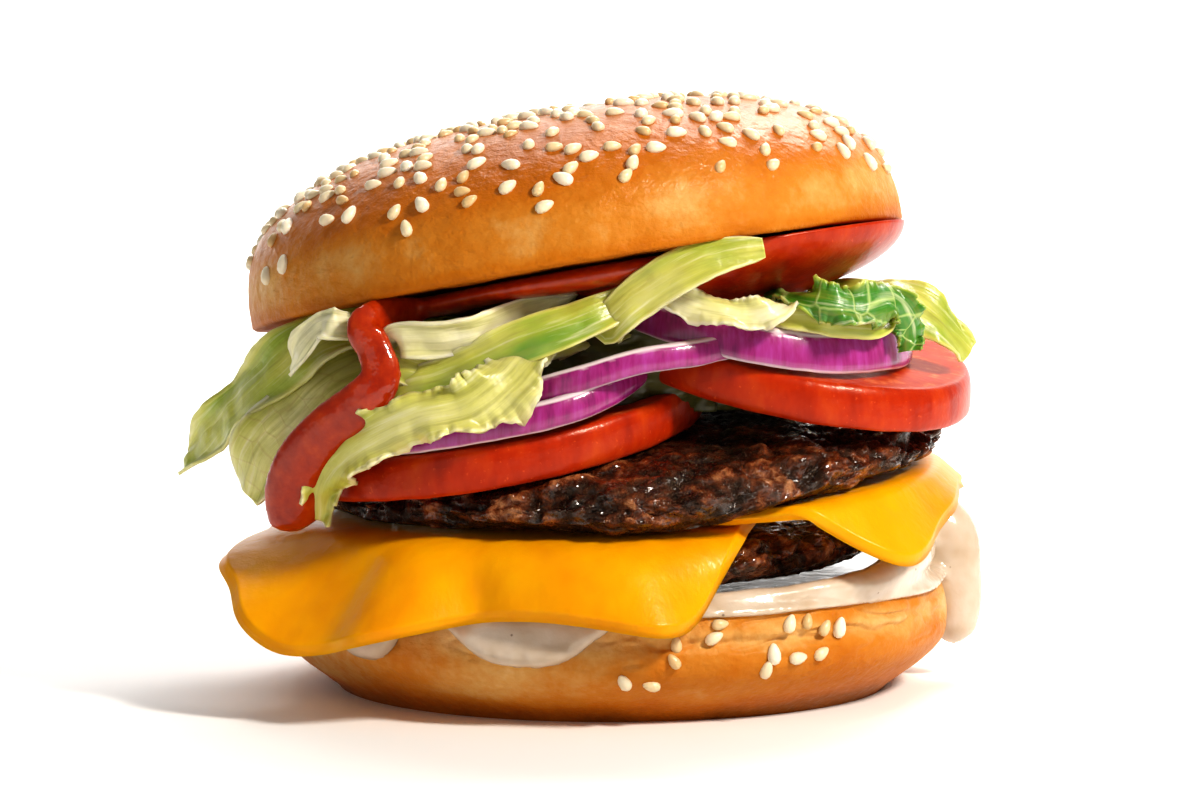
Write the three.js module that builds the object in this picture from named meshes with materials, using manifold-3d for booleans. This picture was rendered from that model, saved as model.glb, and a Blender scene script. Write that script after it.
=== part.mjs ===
// Double cheeseburger, in millimetres, +Z up. The origin is the centre of the heel's flat base,
// and the burger's front faces -Y. Each layer is one closed solid, and neighbours keep a small gap.
import * as THREE from "three";
import { mergeVertices } from "three/addons/utils/BufferGeometryUtils.js";
import Module from "manifold-3d";

const wasm = await Module();
wasm.setup();

// Driving dimensions
const GAP = 0.3; // clearance between two pieces that rest on each other
const ROOM = 0.62; // the same where a formula gives it, so that no cut is needed
const HEEL = { foot: 45.5, widest: 55.6, widestAt: 10.7, rim: 54, top: 18.3 };
const CREASE = { z: 13.4, depth: 0.9, high: 0.9, angle: -1.15, spread: 0.55 };
const CROWN = { x: -6, y: 0, z: 67.5, slopeX: 0.173, slopeY: -0.098, radius: 54.7, height: 27.2 };
const SEED = { length: 3.2, width: 2.0, height: 0.9, apart: 3.5, onCrown: 32, sides: 5, rows: 3 };
const PATTY_LOWER = { x: -5, y: -1, z: 20.4, slopeX: 0.03, slopeY: 0.01, radius: 48.5, edge: 6.4, rise: 1.4 };
const PATTY_UPPER = { x: 3, y: -2, z: 33.6, slopeX: 0.1, slopeY: 0.03, radius: 50.5, edge: 5.8, rise: 6 };
const SAG = { depth: 2.6, angle: -1.42, spread: 0.38 }; // the upper patty's rim hangs in front
const CRAG = { side: 0.9, top: 0.3 }; // how far the lumps of meat stand out
const CHEESE = { half: 41, thick: 2.3, square: 7, fall: 20 };
const CHEESE_FRONT = { x: -17.9, y: -20.3, turn: -0.155, rim: 46.6, bend: 9, steep: 1.15,
  flare: 0.9, flareAt: 3.44, folds: 3, creases: 1, phase: 3.52 };
const CHEESE_RIGHT = { x: 17.3, y: -2.4, turn: -0.13, rim: 49.5, bend: 2.8, steep: 1.04,
  flare: 0.32, flareAt: -0.12, folds: 0.28, creases: 1.05, phase: 3.28 };
const TOMATO_FRONT = { x: -18, y: -17, z: 40.5, slopeX: 0.175, slopeY: 0.1, radius: 32.5, thick: 7 };
const TOMATO_BACK = { x: -36, y: 12, z: 46.2, slopeX: 0.216, slopeY: 0, radius: 28, thick: 6.5 };
const TOMATO_RIGHT = { x: 27.6, y: -10, z: 52.2, slopeX: -0.19, slopeY: 0.157, radius: 31.2, thick: 7 };
const TOMATO_END = { x: 17, y: -12, radius: 30, thick: 9.6 };
const ONION_WALL = 2.4;
const LEAF = { thick: 0.9, curl: 0.5, end: 0.06, wideAcross: 10 };
const HEAP = { x: -3, y: 1, radius: 36, foot: 47.5, lumps: 2.2, under: 1.9 };
const MAYONNAISE = { top: 19.6, thick: 1.5, hem: 17.4, off: 2.5 * GAP };
const KETCHUP = { radius: 49, thick: 2.6, front: -1.9, frontSpread: 0.8, frontLump: 0.35 };
const SHREDS_BEHIND = { count: 7, from: 0.3, to: 2.94 };

// Small tools

// Draws the same numbers between 0 and 1 each time, from a seed.
function numberDraw(seed) {
  let state = seed;
  return () => {
    state = (Math.imul(state, 1664525) + 1013904223) >>> 0;
    return state / 4294967296;
  };
}

// Slow unevenness of a round outline, between about -1 and 1.
function uneven(angle, phase) {
  return 0.5 * Math.sin(2 * angle + phase) + 0.3 * Math.sin(3 * angle + 2.1 * phase)
    + 0.2 * Math.sin(5 * angle + 3.7 * phase);
}

// Quick unevenness of minced meat, between about -1 and 1.
function crags(angle, level, phase) {
  return 0.45 * Math.sin(9 * angle + 2.3 * level + phase)
    + 0.35 * Math.sin(13 * angle - 3.1 * level + 2 * phase)
    + 0.2 * Math.sin(19 * angle + 4.3 * level + 3 * phase);
}

// A hump of height 1 at the middle, falling to 0 on both sides.
function hump(value, middle, spread) {
  return Math.exp(-(((value - middle) / spread) ** 2));
}

// The smallest turn from one angle to another.
function turnTo(angle, from) {
  return Math.atan2(Math.sin(angle - from), Math.cos(angle - from));
}

// The height at (x, y) of the sloping plane that a slice lies on.
function planeHeight(slice, x, y) {
  return slice.z + slice.slopeX * (x - slice.x) + slice.slopeY * (y - slice.y);
}

// Rows of points, from a pole through rings to a pole, closed into one surface that faces out.
function closedSurface(rows) {
  const starts = [];
  let count = 0;
  rows.forEach((row) => {
    starts.push(count);
    count += row.length;
  });
  const index = [];
  for (let k = 0; k < rows.length - 1; k += 1) {
    const lower = rows[k].length;
    const upper = rows[k + 1].length;
    for (let i = 0; i < Math.max(lower, upper); i += 1) {
      const a = starts[k] + (i % lower);
      const b = starts[k] + ((i + 1) % lower);
      const c = starts[k + 1] + ((i + 1) % upper);
      const d = starts[k + 1] + (i % upper);
      if (lower > 1) index.push(a, b, c);
      if (upper > 1) index.push(a, c, d);
    }
  }
  const geometry = new THREE.BufferGeometry();
  geometry.setAttribute("position", new THREE.Float32BufferAttribute(rows.flat(2), 3));
  geometry.setIndex(index);
  return geometry;
}

// A round body: point(k, angle) gives the place on ring k, and the first and last rings are poles.
function roundBody(rings, segments, point) {
  const rows = [];
  for (let k = 0; k < rings; k += 1) {
    const pole = k === 0 || k === rings - 1;
    const row = [];
    for (let i = 0; i < (pole ? 1 : segments); i += 1) {
      row.push(point(k, (2 * Math.PI * i) / segments));
    }
    rows.push(row);
  }
  return closedSurface(rows);
}

// A smooth path through a few points.
function pathThrough(points) {
  return new THREE.CatmullRomCurve3(points.map((p) => new THREE.Vector3(...p)), false, "catmullrom", 0.5);
}

// A bar along a path. section(s) gives its outline there as pairs (across, up), anticlockwise, where
// up lies as near to the given direction as the path lets it.
function barAlong(points, steps, section, upwards = new THREE.Vector3(0, 0, 1)) {
  const path = pathThrough(points);
  const rows = [[path.getPoint(0).toArray()]];
  for (let k = 0; k <= steps; k += 1) {
    const s = k / steps;
    const centre = path.getPoint(s);
    const ahead = path.getTangent(s);
    const across = ahead.clone().cross(upwards).normalize();
    const up = across.clone().cross(ahead);
    rows.push(section(s).map(([u, v]) => (
      centre.clone().addScaledVector(across, -u).addScaledVector(up, v).toArray()
    )));
  }
  rows.push([path.getPoint(1).toArray()]);
  return closedSurface(rows);
}

// A thin wavy solid: one grid twice, half the thickness out on either side, both split alike.
function thinSolid(along, across, point, thick) {
  const grid = [];
  for (let i = 0; i <= along; i += 1) {
    for (let j = 0; j <= across; j += 1) {
      grid.push(point(i / along, (2 * j) / across - 1));
    }
  }
  const at = (i, j) => i * (across + 1) + j;
  const faces = [];
  for (let i = 0; i < along; i += 1) {
    for (let j = 0; j < across; j += 1) {
      faces.push([at(i, j), at(i + 1, j), at(i + 1, j + 1)]);
      faces.push([at(i, j), at(i + 1, j + 1), at(i, j + 1)]);
    }
  }
  const sheet = new THREE.BufferGeometry();
  sheet.setAttribute("position", new THREE.Float32BufferAttribute(grid.flatMap((p) => p.toArray()), 3));
  sheet.setIndex(faces.flat());
  sheet.computeVertexNormals();
  const normal = sheet.getAttribute("normal");
  const offset = (side) => grid.flatMap((p, n) => {
    const facing = new THREE.Vector3().fromBufferAttribute(normal, n);
    return p.clone().addScaledVector(facing, (side * thick) / 2).toArray();
  });
  const edge = [];
  for (let i = 0; i < along; i += 1) edge.push(at(i, 0));
  for (let j = 0; j < across; j += 1) edge.push(at(along, j));
  for (let i = along; i > 0; i -= 1) edge.push(at(i, across));
  for (let j = across; j > 0; j -= 1) edge.push(at(0, j));
  const under = grid.length;
  const index = faces.flat();
  faces.forEach(([a, b, c]) => index.push(under + a, under + c, under + b));
  edge.forEach((a, n) => {
    const b = edge[(n + 1) % edge.length];
    index.push(under + a, under + b, b);
    index.push(under + a, b, a);
  });
  const geometry = new THREE.BufferGeometry();
  geometry.setAttribute("position", new THREE.Float32BufferAttribute([...offset(1), ...offset(-1)], 3));
  geometry.setIndex(index);
  return geometry;
}

// Turns a closed geometry into a solid that can be joined and cut.
function solidOf(geometry) {
  const bare = new THREE.BufferGeometry();
  bare.setAttribute("position", geometry.getAttribute("position"));
  bare.setIndex(geometry.getIndex());
  const merged = mergeVertices(bare, 1e-4);
  return new wasm.Manifold(new wasm.Mesh({
    numProp: 3,
    vertProperties: new Float32Array(merged.getAttribute("position").array),
    triVerts: new Uint32Array(merged.getIndex().array),
  }));
}

// Turns a solid back into a geometry.
function geometryOf(solid) {
  const mesh = solid.getMesh();
  const geometry = new THREE.BufferGeometry();
  geometry.setAttribute("position", new THREE.Float32BufferAttribute(mesh.vertProperties, 3));
  geometry.setIndex(Array.from(mesh.triVerts));
  geometry.computeVertexNormals();
  return geometry;
}

// The same solid, each of its points moved outwards, to cut its neighbours with.
function grown(solid, by) {
  const geometry = geometryOf(solid);
  const place = geometry.getAttribute("position");
  const normal = geometry.getAttribute("normal");
  for (let i = 0; i < place.count; i += 1) {
    place.setXYZ(
      i,
      place.getX(i) + by * normal.getX(i),
      place.getY(i) + by * normal.getY(i),
      place.getZ(i) + by * normal.getZ(i),
    );
  }
  return solidOf(geometry);
}

// A solid cut clear of its neighbours, without the scraps that the cut leaves loose. coarse is how
// far the neighbours' own shapes may be simplified before they cut.
function cutClear(solid, neighbours, coarse = 0.06) {
  const rest = neighbours.reduce((left, neighbour) => (
    left.subtract(grown(neighbour.simplify(coarse), 1.4 * GAP + 1.2 * coarse))
  ), solid);
  const bodies = rest.simplify(0.02).decompose();
  return bodies.reduce((best, body) => (body.volume() > best.volume() ? body : best));
}

// Bun

// The heel's radius at a height: it swells from the foot, then draws in a little to the cut rim.
function heelRadius(z, angle) {
  const low = Math.min(z / HEEL.widestAt, 1);
  const high = Math.max((z - HEEL.widestAt) / (HEEL.top - HEEL.widestAt), 0);
  const round = HEEL.foot + (HEEL.widest - HEEL.foot) * Math.sin((Math.PI / 2) * low) ** 1.25
    - (HEEL.widest - HEEL.rim) * high ** 2;
  const beside = turnTo(angle, CREASE.angle);
  const crease = CREASE.depth * hump(z, CREASE.z, CREASE.high) * hump(beside, 0, CREASE.spread);
  return round * (1 + 0.008 * uneven(angle, 1.3)) - crease;
}

function heelBody() {
  const bevel = 0.6;
  const side = [0, 1.2, 3.4, 6.6, HEEL.widestAt, CREASE.z - 1, CREASE.z, CREASE.z + 1, HEEL.top - bevel];
  const profile = [...side.map((z) => [z, 0]), [HEEL.top, bevel]];
  const rings = profile.length + 2;
  return roundBody(rings, 38, (k, angle) => {
    if (k === 0) return [0, 0, 0];
    if (k === rings - 1) return [0, 0, HEEL.top];
    const [z, inset] = profile[k - 1];
    const r = heelRadius(z, angle) - inset;
    return [r * Math.cos(angle), r * Math.sin(angle), z];
  });
}

// A seed: a flattened drop that lies half sunk at a place, turned about the way the surface faces.
function seedAt(place, outwards, turn) {
  const seed = new THREE.SphereGeometry(0.5, SEED.sides, SEED.rows);
  seed.rotateX(Math.PI / 2);
  seed.scale(SEED.length, SEED.width, 2 * SEED.height);
  seed.rotateZ(turn);
  const facing = new THREE.Quaternion().setFromUnitVectors(new THREE.Vector3(0, 0, 1), outwards);
  seed.applyQuaternion(facing);
  seed.translate(...place.toArray());
  return solidOf(seed);
}

// Places (angle, height) and turns of the few seeds that stuck to the heel's front right.
const HEEL_SEEDS = [
  [-1.26, 16.4, 0.1], [-1.28, 14.4, 0.5], [-1.04, 15.9, 1.1], [-0.98, 16, 1.2], [-0.92, 14.8, 1],
  [-0.865, 14.6, 1.4], [-1.4, 11, 2.2], [-1.39, 13.5, 1.6], [-1.1, 11.4, 1.6], [-1.02, 10.5, 0.1],
  [-0.94, 10.9, 0.5], [-1.12, 9, 1.4], [-1.54, 7.7, 2], [-1.46, 7, 2.9],
];

function heelSolid() {
  const seeds = HEEL_SEEDS.map(([angle, z, turn]) => {
    const r = heelRadius(z, angle);
    const place = new THREE.Vector3(r * Math.cos(angle), r * Math.sin(angle), z);
    const lean = heelRadius(z - 0.5, angle) - heelRadius(z + 0.5, angle);
    const outwards = new THREE.Vector3(Math.cos(angle), Math.sin(angle), lean).normalize();
    return seedAt(place, outwards, turn);
  });
  return wasm.Manifold.union([solidOf(heelBody()), ...seeds]);
}

// The crown's own frame: its cut face is the plane z = 0, and it rises along +Z.
function crownFrame() {
  const right = new THREE.Vector3(1, 0, CROWN.slopeX).normalize();
  const up = new THREE.Vector3(-CROWN.slopeX, -CROWN.slopeY, 1).normalize();
  const back = up.clone().cross(right);
  return new THREE.Matrix4().makeBasis(right, back, up).setPosition(CROWN.x, CROWN.y, CROWN.z);
}

// The dome's place for a rise from 0 at the rim to a quarter turn at the top, in the crown's frame.
function domePoint(rise, angle) {
  const r = CROWN.radius * Math.cos(rise) ** 0.8 * (1 + 0.012 * uneven(angle, 0.4));
  const z = CROWN.height * Math.sin(rise) ** 0.72 * (1 + 0.02 * uneven(angle, 2.2) * Math.cos(rise));
  return new THREE.Vector3(r * Math.cos(angle), r * Math.sin(angle), z);
}

function domeNormal(rise, angle) {
  const step = 0.01;
  const up = domePoint(rise + step, angle).sub(domePoint(rise - step, angle));
  const along = domePoint(rise, angle + step).sub(domePoint(rise, angle - step));
  return along.cross(up).normalize();
}

function crownBody() {
  const rises = [0.05, 0.16, 0.32, 0.52, 0.74, 0.98, 1.22, 1.4];
  const bevel = 0.8;
  const rings = rises.length + 3;
  return roundBody(rings, 36, (k, angle) => {
    if (k === 0) return [0, 0, 0];
    if (k === rings - 1) return [0, 0, CROWN.height];
    if (k > 1) return domePoint(rises[k - 2], angle).toArray();
    const cut = domePoint(0, angle);
    return cut.setLength(cut.length() - bevel).toArray();
  });
}

// Draws seeds over the dome, many on top and few low down, none nearer to another than a set distance.
function crownSeeds(wanted) {
  const draw = numberDraw(7);
  const seeds = [];
  while (seeds.length < wanted) {
    const angle = 2 * Math.PI * draw();
    const rise = Math.acos(Math.sqrt(draw()) ** 1.25);
    const keep = draw();
    const turn = Math.PI * draw();
    const low = Math.max(0.62 - rise, 0) / 0.62;
    const place = domePoint(Math.max(rise, 0.12), angle);
    const clear = seeds.every((seed) => seed.place.distanceTo(place) > SEED.apart);
    if (clear && keep > 1.35 * low) {
      seeds.push({ place, turn, outwards: domeNormal(Math.max(rise, 0.12), angle) });
    }
  }
  return seeds;
}

function crownSolid() {
  const seeds = crownSeeds(SEED.onCrown).map((seed) => seedAt(seed.place, seed.outwards, seed.turn));
  return wasm.Manifold.union([solidOf(crownBody()), ...seeds]).transform(crownFrame().toArray());
}

// Patties

// The height of a patty's top over its base plane, from its middle (0) to its edge (1).
function pattyTop(patty, q) {
  return patty.edge + patty.rise * (1 - q ** 2.2);
}

// floor(x, y) is the height that the patty's underside keeps above. sag is how far its rim hangs in front.
function pattyBody(patty, phase, floor, sag) {
  const outline = [
    [0, 0, 0], [0.62, 0, 0], [0.93, 0.06, 1], [1, 0.34, 0.9], [1.01, 0.66, 0.4], [0.965, 0.96, 0],
  ];
  const tops = [0.86, 0.66, 0.4, 0];
  return roundBody(outline.length + tops.length, 38, (k, angle) => {
    const side = k < outline.length;
    const q = side ? outline[k][0] : tops[k - outline.length];
    const hang = side ? outline[k][2] * sag * hump(turnTo(angle, SAG.angle), 0, SAG.spread) : 0;
    const local = side ? outline[k][1] * patty.edge - hang : pattyTop(patty, q);
    const rough = crags(angle, k, phase);
    const r = q * patty.radius * (1 + 0.015 * uneven(angle, phase)) + q * q * CRAG.side * rough;
    const x = patty.x + r * Math.cos(angle);
    const y = patty.y + r * Math.sin(angle);
    const lift = k < 3 ? 0 : CRAG.top * q * crags(angle, k + 1.5, phase + 2);
    const z = planeHeight(patty, x, y) + local + lift;
    return [x, y, side ? Math.max(z, floor(x, y)) : z];
  });
}

// Cheese

// How far a slice reaches from its middle towards an angle: a square with rounded corners.
function sliceReach(angle) {
  const wide = Math.abs(Math.cos(angle)) ** CHEESE.square + Math.abs(Math.sin(angle)) ** CHEESE.square;
  return CHEESE.half / wide ** (1 / CHEESE.square);
}

// Where a length of cheese past the rim ends up: out and down round a bend, then down a steep line.
function overhang(slice, length, angle) {
  const steep = slice.steep - slice.flare * hump(turnTo(angle, slice.flareAt), 0, 0.6);
  const round = Math.min(length, slice.bend * steep);
  const straight = length - round;
  const turned = round / slice.bend;
  return [
    slice.bend * Math.sin(turned) + straight * Math.cos(steep),
    slice.bend * (1 - Math.cos(turned)) + straight * Math.sin(steep),
  ];
}

// A slice laid over a patty. lie(x, y) gives the height of its middle layer inside the rim.
function drapedSlice(slice, patty, lie) {
  const reaches = [0, 0.5, 0.74, 0.87, 1];
  const rings = 2 * reaches.length + 1;
  const middle = (reach, angle) => {
    const far = reach * sliceReach(angle - slice.turn);
    const x = slice.x + far * Math.cos(angle) - patty.x;
    const y = slice.y + far * Math.sin(angle) - patty.y;
    const from = Math.hypot(x, y);
    const past = Math.max(from - slice.rim, 0);
    const [out, down] = overhang(slice, past, Math.atan2(y, x));
    const wave = (past / CHEESE.fall) * (slice.folds * Math.sin(7 * angle + slice.phase)
      + slice.creases * Math.sin(12 * angle + 2 * slice.phase));
    const r = Math.min(from, slice.rim) + out + wave;
    const scale = from > 0 ? r / from : 0;
    const inside = Math.min(from, slice.rim) / Math.max(from, 1);
    const height = lie(patty.x + x * inside, patty.y + y * inside);
    return new THREE.Vector3(patty.x + x * scale, patty.y + y * scale, height - down);
  };
  const normal = (reach, angle) => {
    const step = 0.02;
    const inner = Math.max(reach - step, step);
    const out = middle(inner + 2 * step, angle).sub(middle(inner, angle));
    const along = middle(Math.max(reach, 0.1), angle + step).sub(middle(Math.max(reach, 0.1), angle - step));
    return out.cross(along).normalize();
  };
  return roundBody(rings, 36, (k, angle) => {
    const under = k < reaches.length;
    const rim = k === reaches.length;
    const reach = rim ? 1 : reaches[under ? k : rings - 1 - k];
    const place = middle(reach, angle);
    const face = reach === 0 ? new THREE.Vector3(0, 0, 1) : normal(reach, angle);
    if (rim) {
      const outwards = middle(1, angle).sub(middle(0.96, angle)).normalize();
      return place.addScaledVector(outwards, 0.4 * CHEESE.thick).toArray();
    }
    return place.addScaledVector(face, ((under ? -1 : 1) * CHEESE.thick) / 2).toArray();
  });
}

function onLowerPatty(x, y) {
  const q = Math.min(Math.hypot(x - PATTY_LOWER.x, y - PATTY_LOWER.y) / PATTY_LOWER.radius, 1);
  return planeHeight(PATTY_LOWER, x, y) + pattyTop(PATTY_LOWER, q) + ROOM + CRAG.top + 0.5 * CHEESE.thick;
}

function onFrontSlice(x, y) {
  return onLowerPatty(x, y) + 0.5 * CHEESE.thick + ROOM;
}

function underUpperPatty(x, y) {
  const above = planeHeight(PATTY_UPPER, x, y) - ROOM - 0.5 * CHEESE.thick;
  return Math.max(above, onFrontSlice(x, y) + 0.5 * CHEESE.thick);
}

// Tomatoes

function tomatoBody(slice, phase) {
  const outline = [
    [0, 0], [0.7, 0], [0.965, 0.02], [0.998, 0.25], [1, 0.6], [0.975, 0.97], [0.72, 1], [0, 1],
  ];
  return roundBody(outline.length, 26, (k, angle) => {
    const [q, level] = outline[k];
    const r = q * slice.radius * (1 + 0.018 * uneven(angle, phase));
    const x = slice.x + r * Math.cos(angle);
    const y = slice.y + r * Math.sin(angle);
    return [x, y, planeHeight(slice, x, y) + level * slice.thick];
  });
}

// The end of a tomato, cut face up against the crown, its round skin below.
function tomatoEndBody() {
  const depths = [1, 0.9, 0.7, 0.45, 0.18, 0, 0];
  return roundBody(depths.length, 24, (k, angle) => {
    const cut = k === depths.length - 1;
    const q = cut ? 0 : (1 - depths[k] ** 2.2) ** (1 / 2.2);
    const r = q * TOMATO_END.radius * (1 + 0.03 * uneven(angle, 0.9));
    const x = TOMATO_END.x + r * Math.cos(angle);
    const y = TOMATO_END.y + r * Math.sin(angle);
    return [x, y, planeHeight(CROWN, x, y) - 1.5 * GAP - depths[k] * TOMATO_END.thick];
  });
}

// Onions

// A piece of an onion ring: its wall stands on edge along a path, and tall gives its cut width.
function onionBody(points, tall, lean) {
  return barAlong(points, 12, (s) => {
    const h = tall[0] + (tall[1] - tall[0]) * s;
    const w = ONION_WALL / 2;
    return [
      [-w, 0], [-0.6 * w, -h / 2], [0.6 * w, -h / 2], [w, 0],
      [0.7 * w + lean, h / 2], [-0.7 * w + lean, h / 2],
    ];
  });
}

const ONION_FRONT = [
  [-43, -26, 41.9], [-41.5, -37, 43], [-33, -45, 44.6], [-22, -49.5, 46.6], [-9, -49, 49.3], [-1, -44, 52],
  [4, -35, 54.8], [3.6, -30.5, 55.4],
];
const ONION_MIDDLE = [
  [-26, -26, 49.8], [-24, -38, 50.1], [-16, -44.5, 51.4], [-6, -47, 54.2], [4, -46, 57], [13, -43, 58.2],
  [20, -37, 59.5], [24, -27, 60.4],
];
const ONION_RIGHT = [
  [2, -30, 65], [6, -37, 63.4], [14, -40.5, 61.2], [24, -41, 59.1], [34, -38, 57.8], [42, -31, 57.6],
  [47, -20, 57.8], [48, -8, 59.4],
];

// Lettuce

// Leaves and shreds that show. Each has a path, a width, the way its face looks, and how it waves.
const LEAVES = [
  { points: [[-22, -18, 60], [-40, -31, 61.6], [-49, -33, 58.6], [-57, -28, 52], [-64, -18, 44.6],
    [-70.5, -8, 37.4]],
    width: 9.5, face: [-0.4, -0.8, 0.45], ruffle: 0.8, waves: 3 },
  { points: [[-22, -22, 59], [-41, -43, 62.4], [-46, -43, 62.4], [-49.5, -40, 58.5], [-51, -36, 55]],
    width: 5, face: [-0.3, -0.8, 0.5], ruffle: 0.6, waves: 2 },
  { points: [[-22, -18, 58], [-42, -33, 54], [-50, -36, 47.6], [-56, -34, 41.6], [-58.6, -31, 34.6]],
    width: 10.5, face: [-0.45, -0.8, 0.3], ruffle: 1.4, waves: 3 },
  { points: [[-22, -16, 57], [-42, -29, 54.2], [-47, -30, 51.5], [-52, -29, 52.6]],
    width: 5, face: [-0.2, -0.9, 0.3], ruffle: 0.8, waves: 2 },
  { points: [[-4, -32, 60], [-11.4, -47, 60.2], [-17, -52, 55.2], [-23, -54, 51],
    [-31, -53, 48.8], [-40, -49, 44],
    [-45.5, -44, 38], [-46.6, -40, 31.5]],
    width: 8.5, face: [0, -0.95, 0.3], ruffle: 1.6, waves: 5 },
  { points: [[-24, -30, 60], [-34, -46, 61.6], [-26, -49, 62.6], [-19, -48, 64.4],
    [-12, -42, 66.4], [-6, -30, 66]],
    width: 6.5, face: [0, -0.95, -0.3], ruffle: 0.8, waves: 2 },
  { points: [[-28, -28, 57], [-36, -44, 58.4], [-30, -47, 55.8], [-24, -45, 58.2], [-20, -32, 60]],
    width: 5, face: [0, -0.9, 0.4], ruffle: 0.6, waves: 2 },
  { points: [[-28, -28, 50], [-35, -45, 52.2], [-26, -48.5, 55], [-15, -50, 60.2],
    [-6, -49, 64.4], [2, -45, 67.4],
    [8, -30, 68]],
    width: 6, face: [0, -0.95, 0.3], ruffle: 0.7, waves: 3 },
  { points: [[2, -30, 61], [-0.8, -46, 62.6], [4, -49, 67.4], [11, -50, 71.9], [17, -49, 74],
    [23.4, -48, 75]],
    width: 5, face: [0, -0.95, 0.3], ruffle: 0.5, waves: 2 },
  { points: [[4, -30, 66], [8, -44, 67.4], [14, -46, 65.6], [20.5, -46, 64.6], [26, -44, 65.4],
    [28, -30, 65]],
    width: 4.5, face: [0, -0.9, 0.4], ruffle: 1.3, waves: 4 },
  { points: [[20, -28, 64], [27, -39, 64.4], [34, -39, 64], [42, -34, 62.6], [40, -20, 63]],
    width: 6, face: [0, -0.9, 0.4], ruffle: 0.8, waves: 2 },
  { points: [[24, -26, 66], [31, -41, 66.8], [38, -42, 65.6], [44, -35, 66], [47, -31, 62],
    [47.5, -31, 57.6]],
    width: 6, face: [0.2, -0.9, 0.4], ruffle: 1.5, waves: 5 },
  { points: [[32, -12, 66], [45, -20, 66.4], [51, -21, 63.4], [55, -20, 59.8], [58, -18, 56.4]],
    width: 8, face: [0.5, -0.7, 0.5], ruffle: 1, waves: 3 },
];

// Shreds that stick out behind, spread evenly round the back by angle and drawn in size.
function backLeaves() {
  const draw = numberDraw(23);
  const shreds = [];
  const { count, from, to } = SHREDS_BEHIND;
  for (let n = 0; n < count; n += 1) {
    const angle = from + (n / (count - 1)) * (to - from);
    const high = 57 + 4 * draw();
    const drop = 4 + 9 * draw();
    const reach = 44 + 7 * draw();
    const drift = 0.35 * (draw() - 0.5);
    const ring = (r, z, turn) => [r * Math.cos(angle + turn), r * Math.sin(angle + turn), z];
    shreds.push({
      points: [ring(28, high - 2, 0), ring(42, high, drift), ring(reach, high - 0.4 * drop, 1.6 * drift),
        ring(reach + 4, high - drop, 2 * drift)],
      width: 7 + 4 * draw(),
      face: [0.5 * Math.cos(angle), 0.5 * Math.sin(angle), 0.86],
      ruffle: 1.3,
      waves: 3,
    });
  }
  return shreds;
}

function leafBody({ points, width, face, ruffle, waves }) {
  const path = pathThrough(points);
  const facing = new THREE.Vector3(...face).normalize();
  const point = (s, v) => {
    const ahead = path.getTangent(s);
    const across = facing.clone().cross(ahead).normalize();
    const out = ahead.clone().cross(across);
    const half = (width / 2) * Math.sqrt(Math.sin(Math.PI * (LEAF.end + (1 - 2 * LEAF.end) * s)));
    const lift = ruffle * v * v * Math.sin(2 * Math.PI * waves * s + 2.2 * v) - LEAF.curl * v * v;
    return path.getPoint(s).addScaledVector(across, half * v).addScaledVector(out, lift);
  };
  return thinSolid(points.length, width > LEAF.wideAcross ? 2 : 1, point, LEAF.thick);
}

// The heap's body, between the tomatoes and the crown, with a lumpy side.
function heapBody() {
  const levels = [0, 0, 0.33, 0.67, 1, 1];
  const reach = [0, 0.9, 1, 1.02, 0.98, 0];
  return roundBody(levels.length, 14, (k, angle) => {
    const r = HEAP.radius * reach[k] + (reach[k] > 0 ? HEAP.lumps * crags(0.6 * angle, k, 1) : 0);
    const x = HEAP.x + r * Math.cos(angle);
    const y = HEAP.y + r * Math.sin(angle);
    const top = planeHeight(CROWN, x, y) - HEAP.under * KETCHUP.thick;
    return [x, y, HEAP.foot + levels[k] * (top - HEAP.foot)];
  });
}

function lettuceSolid() {
  const leaves = [...LEAVES, ...backLeaves()].map((leaf) => solidOf(leafBody(leaf)));
  return wasm.Manifold.union([solidOf(heapBody()), ...leaves]);
}

// Sauces

// Where the mayonnaise runs down the heel: angle, how far round, and how low.
const MAYONNAISE_RUNS = [
  { angle: -2.33, spread: 0.13, low: 9 },
  { angle: -1.83, spread: 0.22, low: 9.6 },
  { angle: 1.75, spread: 0.16, low: 11 },
  { angle: 2.5, spread: 0.12, low: 12.5 },
];

function mayonnaiseHem(angle) {
  return MAYONNAISE_RUNS.reduce((low, run) => (
    low - (MAYONNAISE.hem - run.low) * Math.exp(-(Math.abs(turnTo(angle, run.angle) / run.spread) ** 3))
  ), MAYONNAISE.hem + 0.25 * uneven(3 * angle, 1));
}

function mayonnaiseBody() {
  return roundBody(11, 34, (k, angle) => {
    const hem = mayonnaiseHem(angle);
    const run = Math.min(Math.max((MAYONNAISE.hem - hem) / 8, 0), 1);
    const under = MAYONNAISE.off;
    const over = under + MAYONNAISE.thick * (0.55 + 0.45 * run);
    const middle = (hem + HEEL.top) / 2;
    const profile = [
      [0, HEEL.top + GAP],
      [heelRadius(HEEL.top, angle) - 6, HEEL.top + GAP],
      [heelRadius(HEEL.top, angle) + under, HEEL.top + GAP],
      [heelRadius(middle, angle) + under, middle],
      [heelRadius(hem, angle) + under, hem],
      [heelRadius(hem, angle) + over, hem + 0.3],
      [heelRadius(middle, angle) + 1.1 * over, middle],
      [heelRadius(HEEL.top, angle) + over, HEEL.top],
      [heelRadius(HEEL.top, angle) - 0.6, MAYONNAISE.top - 0.1],
      [42, MAYONNAISE.top],
      [0, MAYONNAISE.top],
    ];
    const [r, z] = profile[k];
    return [r * Math.cos(angle), r * Math.sin(angle), z];
  });
}

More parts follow.
